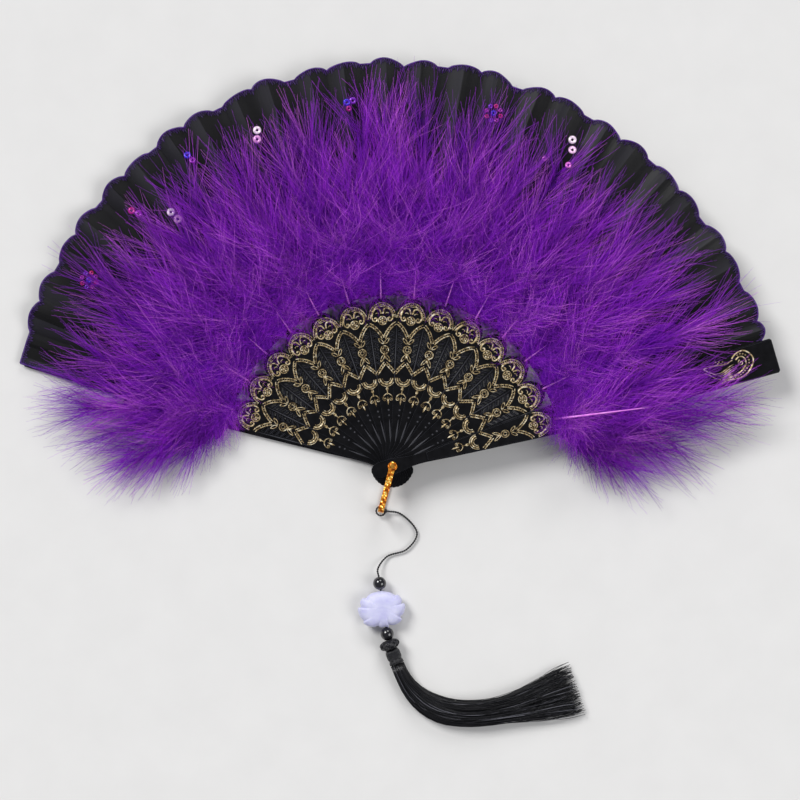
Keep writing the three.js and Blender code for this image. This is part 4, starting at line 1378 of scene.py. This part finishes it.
class Plume:
    """One plume, grown in its stick's own axes and settled on what lies under it."""

    def __init__(self, i):
        self.i = i
        self.end = i in (0, STICKS)
        self.tone = np.random.default_rng(100 + i)
        self.shafts = self.fan_out()
        self.bend = self.tone.normal(0, 2.5 if self.end else 5, len(self.shafts))
        share = self.shafts[:, 1] * (1 + 0.6 * smooth_step(np.abs(self.shafts[:, 0]), 15, 45))
        self.share = share / share.sum()

    def fan_out(self):
        """Direction and length of each shaft; the end plumes spread outwards."""
        fan = {0: RIGHT_FAN, STICKS: LEFT_FAN}.get(self.i, MIDDLE_FAN)
        hand, fuller = (-1, 0.24) if self.i == STICKS else (1, 0.0)
        lift = 1 + 0.07 * math.cos(0.9 * (self.i - STICKS / 2))
        shafts = []
        for angle, length in fan:
            turn = self.tone.normal(0, 2.0)
            length = length * lift * self.tone.uniform(0.94, 1.06)
            shafts.append((hand * angle + turn, length * (1 + fuller * smooth_step(-angle, 22, 60))))
        return np.array(shafts)

    def along_shaft(self, k, t, across=0.0):
        aim = np.radians(self.shafts[k, 0])
        far = self.shafts[k, 1] * t
        off = self.bend[k] * t**2 + across
        x = PLUME_FROM + far * np.cos(aim) - off * np.sin(aim)
        y = far * np.sin(aim) + off * np.cos(aim)
        height = 1.0 + 4.0 * np.sin(math.pi * np.clip(t, 0, 1) * 0.66)
        return np.stack([x, y, height + 0 * off], axis=-1)

    def settle(self, lines, least=0.35):
        world = on_stick(self.i, lines)
        seat = plume_seat(self.i, world)
        world[..., 2] = np.maximum(seat + np.clip(world[..., 2], least, PLUME_TOP), FLOOR_CLEAR)
        return world

    def widths(self, low, high, count, stations, loss=0.6):
        """Radii of strands that thin out towards their tips."""
        return self.tone.uniform(low, high, count)[:, None] * (1 - loss * np.linspace(0, 1, stations))

    def barbs(self):
        """Long barbs that grow from the shafts in locks, as lines, widths, places and shades."""
        tone, end, shafts = self.tone, self.end, self.shafts
        count, stations, bins = 2700 if end else 1050, 6, 14
        k = tone.choice(len(shafts), count, p=self.share)
        t = tone.uniform(0, 1, count) ** 0.75
        hand = np.where(tone.uniform(size=count) < 0.5, -1.0, 1.0)
        lock = (k * bins + np.minimum(t * bins, bins - 1).astype(int)) * 2 + (hand > 0)
        locks = len(shafts) * bins * 2
        sway = tone.normal(0, 8 if end else 9, locks)[lock] + tone.normal(0, 10 if end else 9, count)
        aim = np.radians(shafts[k, 0])
        start = aim + np.radians(hand * (62 - 40 * smooth_step(t, 0, 0.85)) + sway)
        finish = aim + (start - aim) * 0.5 + np.radians(tone.normal(0, 15, count))
        length = (19 + (12 if end else 16) * smooth_step(t, 0, 0.7)) * tone.uniform(0.6, 1.2, count)
        length = length * (0.4 + 0.6 * np.clip(shafts[k, 1] / 62, 0, 1))
        climb = tone.normal(20, 16, locks)[lock] + tone.normal(4, 13, count)
        climb = np.radians(climb * (1 - 0.5 * t))
        fall = np.radians(tone.normal(-5, 10, count))
        s = np.linspace(0, 1, stations)
        curl = tone.normal(0, 0.3, (count, 1)) * np.sin(TURN * (s + tone.uniform(size=(count, 1))))
        heading = start[:, None] + (finish - start)[:, None] * s + curl * (1.15 - t[:, None])
        slope = climb[:, None] + (fall - climb)[:, None] * s
        foot = self.along_shaft(k, t) + tone.normal(0, [0.6, 0.6, 0.8], (count, 3))
        lines = self.settle(grown(foot, heading, slope, length))
        width = self.widths(0.07, 0.13, count, stations, 0.5)
        # painted highlight: about one barb in seven is made lighter as a bright strand
        painted_glint_streak = 0.4 * (tone.uniform(size=count) < 0.15)
        # the spread from lock to lock is partly random tone and partly painted light and shade between clumps
        shade = 0.41 + tone.normal(0, 0.22, locks)[lock] + tone.normal(0, 0.13, count)
        return lines, width, t, shade + painted_glint_streak + painted_light_patches(lines)

    def down(self):
        """Short curly strands over the lower part of the shafts."""
        tone, count, stations = self.tone, 3000 if self.end else 1100, 4
        k = tone.choice(len(self.shafts), count, p=self.share)
        t = tone.uniform(0, 1, count) ** 1.3 * 0.82 - 0.02
        near = 1 - smooth_step(t, 0, 0.25)
        foot = self.along_shaft(k, t) + tone.normal(0, 1, (count, 3)) * [2.0, 4.0, 2.4] + [0, 0, 1.6]
        foot[:, 1] += near * tone.uniform(-9, 9, count)
        aim = np.radians(self.shafts[k, 0] + tone.normal(0, 66, count) * (1 + 0.5 * near))[:, None]
        aim = aim + np.cumsum(tone.normal(0, 0.5, (count, stations)), axis=1)
        slope = np.radians(tone.normal(4, 20, (count, 1)))
        lines = self.settle(grown(foot, aim, slope, tone.uniform(6, 17, count)))
        width = self.widths(0.045, 0.085, count, stations)
        # painted light and shade: the down's tone takes the patches, more strongly than the barbs
        return toned(tubes(lines, width), tone.normal(0.46, 0.17, count) + 1.4 * painted_light_patches(lines), 0.4)

    def wisps(self):
        """Strands that stray inwards over the medallions, most of them at the left."""
        tone, count, stations = self.tone, 60 if self.i > 9 else 8, 5
        foot = np.stack([tone.uniform(*span, count) for span in ((95, 104), (-8, 8), (2, 5))], axis=1)
        aim = 180 + tone.normal(0, 55, (count, 1))
        aim = np.radians(aim + np.cumsum(tone.normal(0, 18, (count, stations)), axis=1))
        slope = np.radians(tone.normal(0, 8, (count, 1)))
        lines = self.settle(grown(foot, aim, slope, tone.uniform(5, 15, count)), 0.9)
        return toned(tubes(lines, self.widths(0.04, 0.07, count, stations)), 0.6, 0.6)

    def barbules(self, lines, t, shade):
        """Three fine hairs along each barb."""
        tone, per = self.tone, 3
        count, stations, _ = lines.shape
        place = tone.uniform(0.05, 0.92, (count, per)) * (stations - 1)
        n = place.astype(int)
        part = (place - n)[..., None]
        row = np.arange(count)[:, None]
        near, far = lines[row, n], lines[row, n + 1]
        way = unit(unit(far - near) + tone.normal(0, 0.7, near.shape)).reshape(-1, 3)
        base = (near * (1 - part) + far * part).reshape(-1, 3)
        size = tone.uniform(1.2, 3.4, count * per) * (1.25 - 0.7 * np.repeat(t, per))
        points, faces = spikes(base, way, size, 0.055)
        points[:, 2] = np.maximum(points[:, 2], HAIR_CLEAR)
        return toned((points, faces), np.repeat(shade, per) + 0.05, 0.5)

    def tongues(self):
        """A ragged tongue of matted down along each shaft closes the gaps between the strands; its dark tone is painted
        shade of the depth under them.
        """
        rows, columns = 14, 7
        far = np.linspace(0, 1, rows)[:, None]
        side = np.linspace(-1, 1, columns)[None, :]
        dome = (1 - 0.8 * side**2) * np.sin(math.pi * np.clip(0.12 + 0.85 * far, 0, 1))
        taper = smooth_step(far, -0.5, 0.35) * (1 - 0.75 * smooth_step(far, 0.45, 1))
        reach = 0.74 if self.end else 0.86
        parts = []
        for k, (_, length) in enumerate(self.shafts):
            spread = min(8.8, 0.14 * length) * taper
            wave = 0.22 * np.sin(11 * far + 3 * k) * np.abs(side)
            ragged = 1 + wave - 0.16 * (np.arange(columns) % 2) * far
            shaft = np.full((rows, columns), k)
            ground = self.along_shaft(shaft, 0.02 + reach * far * ragged, side * spread * ragged)
            roof = ground.copy()
            roof[..., 2] = 0.6 + 2.4 * dome
            ground[..., 2] = 0.3
            parts.append(slab(self.settle(roof, 0.4), self.settle(ground, 0.2)))
        # painted shade: a dark tone for the shadowed depth under the strands
        return toned(joined(parts), 0.2, 0.1)

    def quill(self):
        """The bare foot of the middle shaft, long on the front guard's plume."""
        bare, rise, thick, lean = (0.58, 7.5, 0.72, 6) if self.i == 0 else (0.17, 1.8, 0.55, 0)
        q = np.linspace(0, 1, 12)
        middle = np.full(len(q), np.argmin(np.abs(self.shafts[:, 0] + lean)))
        stem = self.along_shaft(middle, q * bare - 0.015) + np.outer(np.sin(math.pi * q) ** 0.4, UP * rise)
        return toned(tube(self.settle(stem, 0.3), thick - (thick - 0.25) * q), 0.9, q)

    def mesh(self):
        """Points, faces, UV values and material slots; the quill comes last, in the second slot."""
        lines, width, t, shade = self.barbs()
        s = np.linspace(0, 1, lines.shape[1])
        barbs = toned(tubes(lines, width), shade, np.tile(s, len(lines)))
        groups = [
            barbs, self.down(), self.wisps(), self.barbules(lines, t, shade), self.tongues(), self.quill(),
        ]
        points, faces = joined([mesh for mesh, _ in groups])
        uv = inset(np.clip(np.concatenate([values for _, values in groups]), 0, 1))
        return points, faces, uv, second_slot(faces, len(points) - len(groups[-1][1]))


for i in range(STICKS + 1):
    name = "plume_guard" if i == 0 else f"plume_{i:02d}"
    points, faces, uv, slots = Plume(i).mesh()
    feather = make(f"{name}_barbs", points, faces, [marabou, quill], uv=uv, slots=slots)
    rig.ride(feather, body_name(i))
    if i > 0:
        foot = (0.0, 0.0, (level_of(i) + SQUASH_FOOT) * MM)
        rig.squash(feather, fold_joint(i - 1), axis=(0, 0, 1), anchor=foot, keep=0.1)
    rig.replaces(feather, name)
    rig.slot(feather, "feather")


# CAD pieces that stay in view
def dress(names, material, bevel):
    for name in names:
        piece = bpy.data.objects[name]
        piece.data.materials.clear()
        piece.data.materials.append(material)
        weld = piece.modifiers.new("weld", "WELD")
        weld.merge_threshold = 1e-6
        soft = piece.modifiers.new("edges", "BEVEL")
        soft.width = bevel
        soft.segments = 2
        soft.limit_method = "ANGLE"
        soft.angle_limit = math.radians(40)


dress([body_name(i) for i in range(1, STICKS + 1)], stick_plastic, 0.00022)
dress(["front_guard", "back_guard"], guard_plastic, 0.00025)
dress(["rivet"], brass, 0.00008)
dress(["bail", "rivet_cap"], hammered, 0.0001)

# Floor, world and soft studio light
FLOOR_HALF = 3000
FLOOR_LEVEL = -0.4
floor_finish = Finish("floor", Roughness=0.9)
floor_finish.colour(floor_finish.noise(40.0, 4.0), (0.3, (219, 218, 216)), (0.7, (222, 221, 219)))
floor_corners = np.array([
    [x * FLOOR_HALF, y * FLOOR_HALF, FLOOR_LEVEL] for x, y in ((-1, -1), (1, -1), (1, 1), (-1, 1))
])
floor = make("floor", floor_corners, [np.array([[0, 1, 2, 3]])], [floor_finish.material])
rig.stage(floor)

world = bpy.data.worlds.new("studio")
world.use_nodes = True
world.node_tree.nodes["Background"].inputs["Color"].default_value = (0.9, 0.92, 1.0, 1.0)
world.node_tree.nodes["Background"].inputs["Strength"].default_value = 0.26
scene.world = world


def soft_light(name, spot, spread, strength):
    """A lamp far off in the direction of the spot, as wide in the sky as the spread in degrees."""
    data = bpy.data.lights.new(name, "SUN")
    data.angle = math.radians(spread)
    data.energy = strength
    lamp = bpy.data.objects.new(name, data)
    lamp.location = spot
    lamp.rotation_euler = (-Vector(spot)).to_track_quat("-Z", "Y").to_euler()
    scene.collection.objects.link(lamp)


soft_light("key", (-0.75, 0.75, 1.0), 24, 2.25)
soft_light("fill", (0.95, -0.25, 1.0), 36, 1.13)
soft_light("back", (0.3, 1.2, 0.8), 24, 0.73)

visual_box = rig.bounds()
with open("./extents.json", "w") as out_file:
    json.dump({"cad": [list(p) for p in cad_box], "visual": [list(p) for p in visual_box]}, out_file)
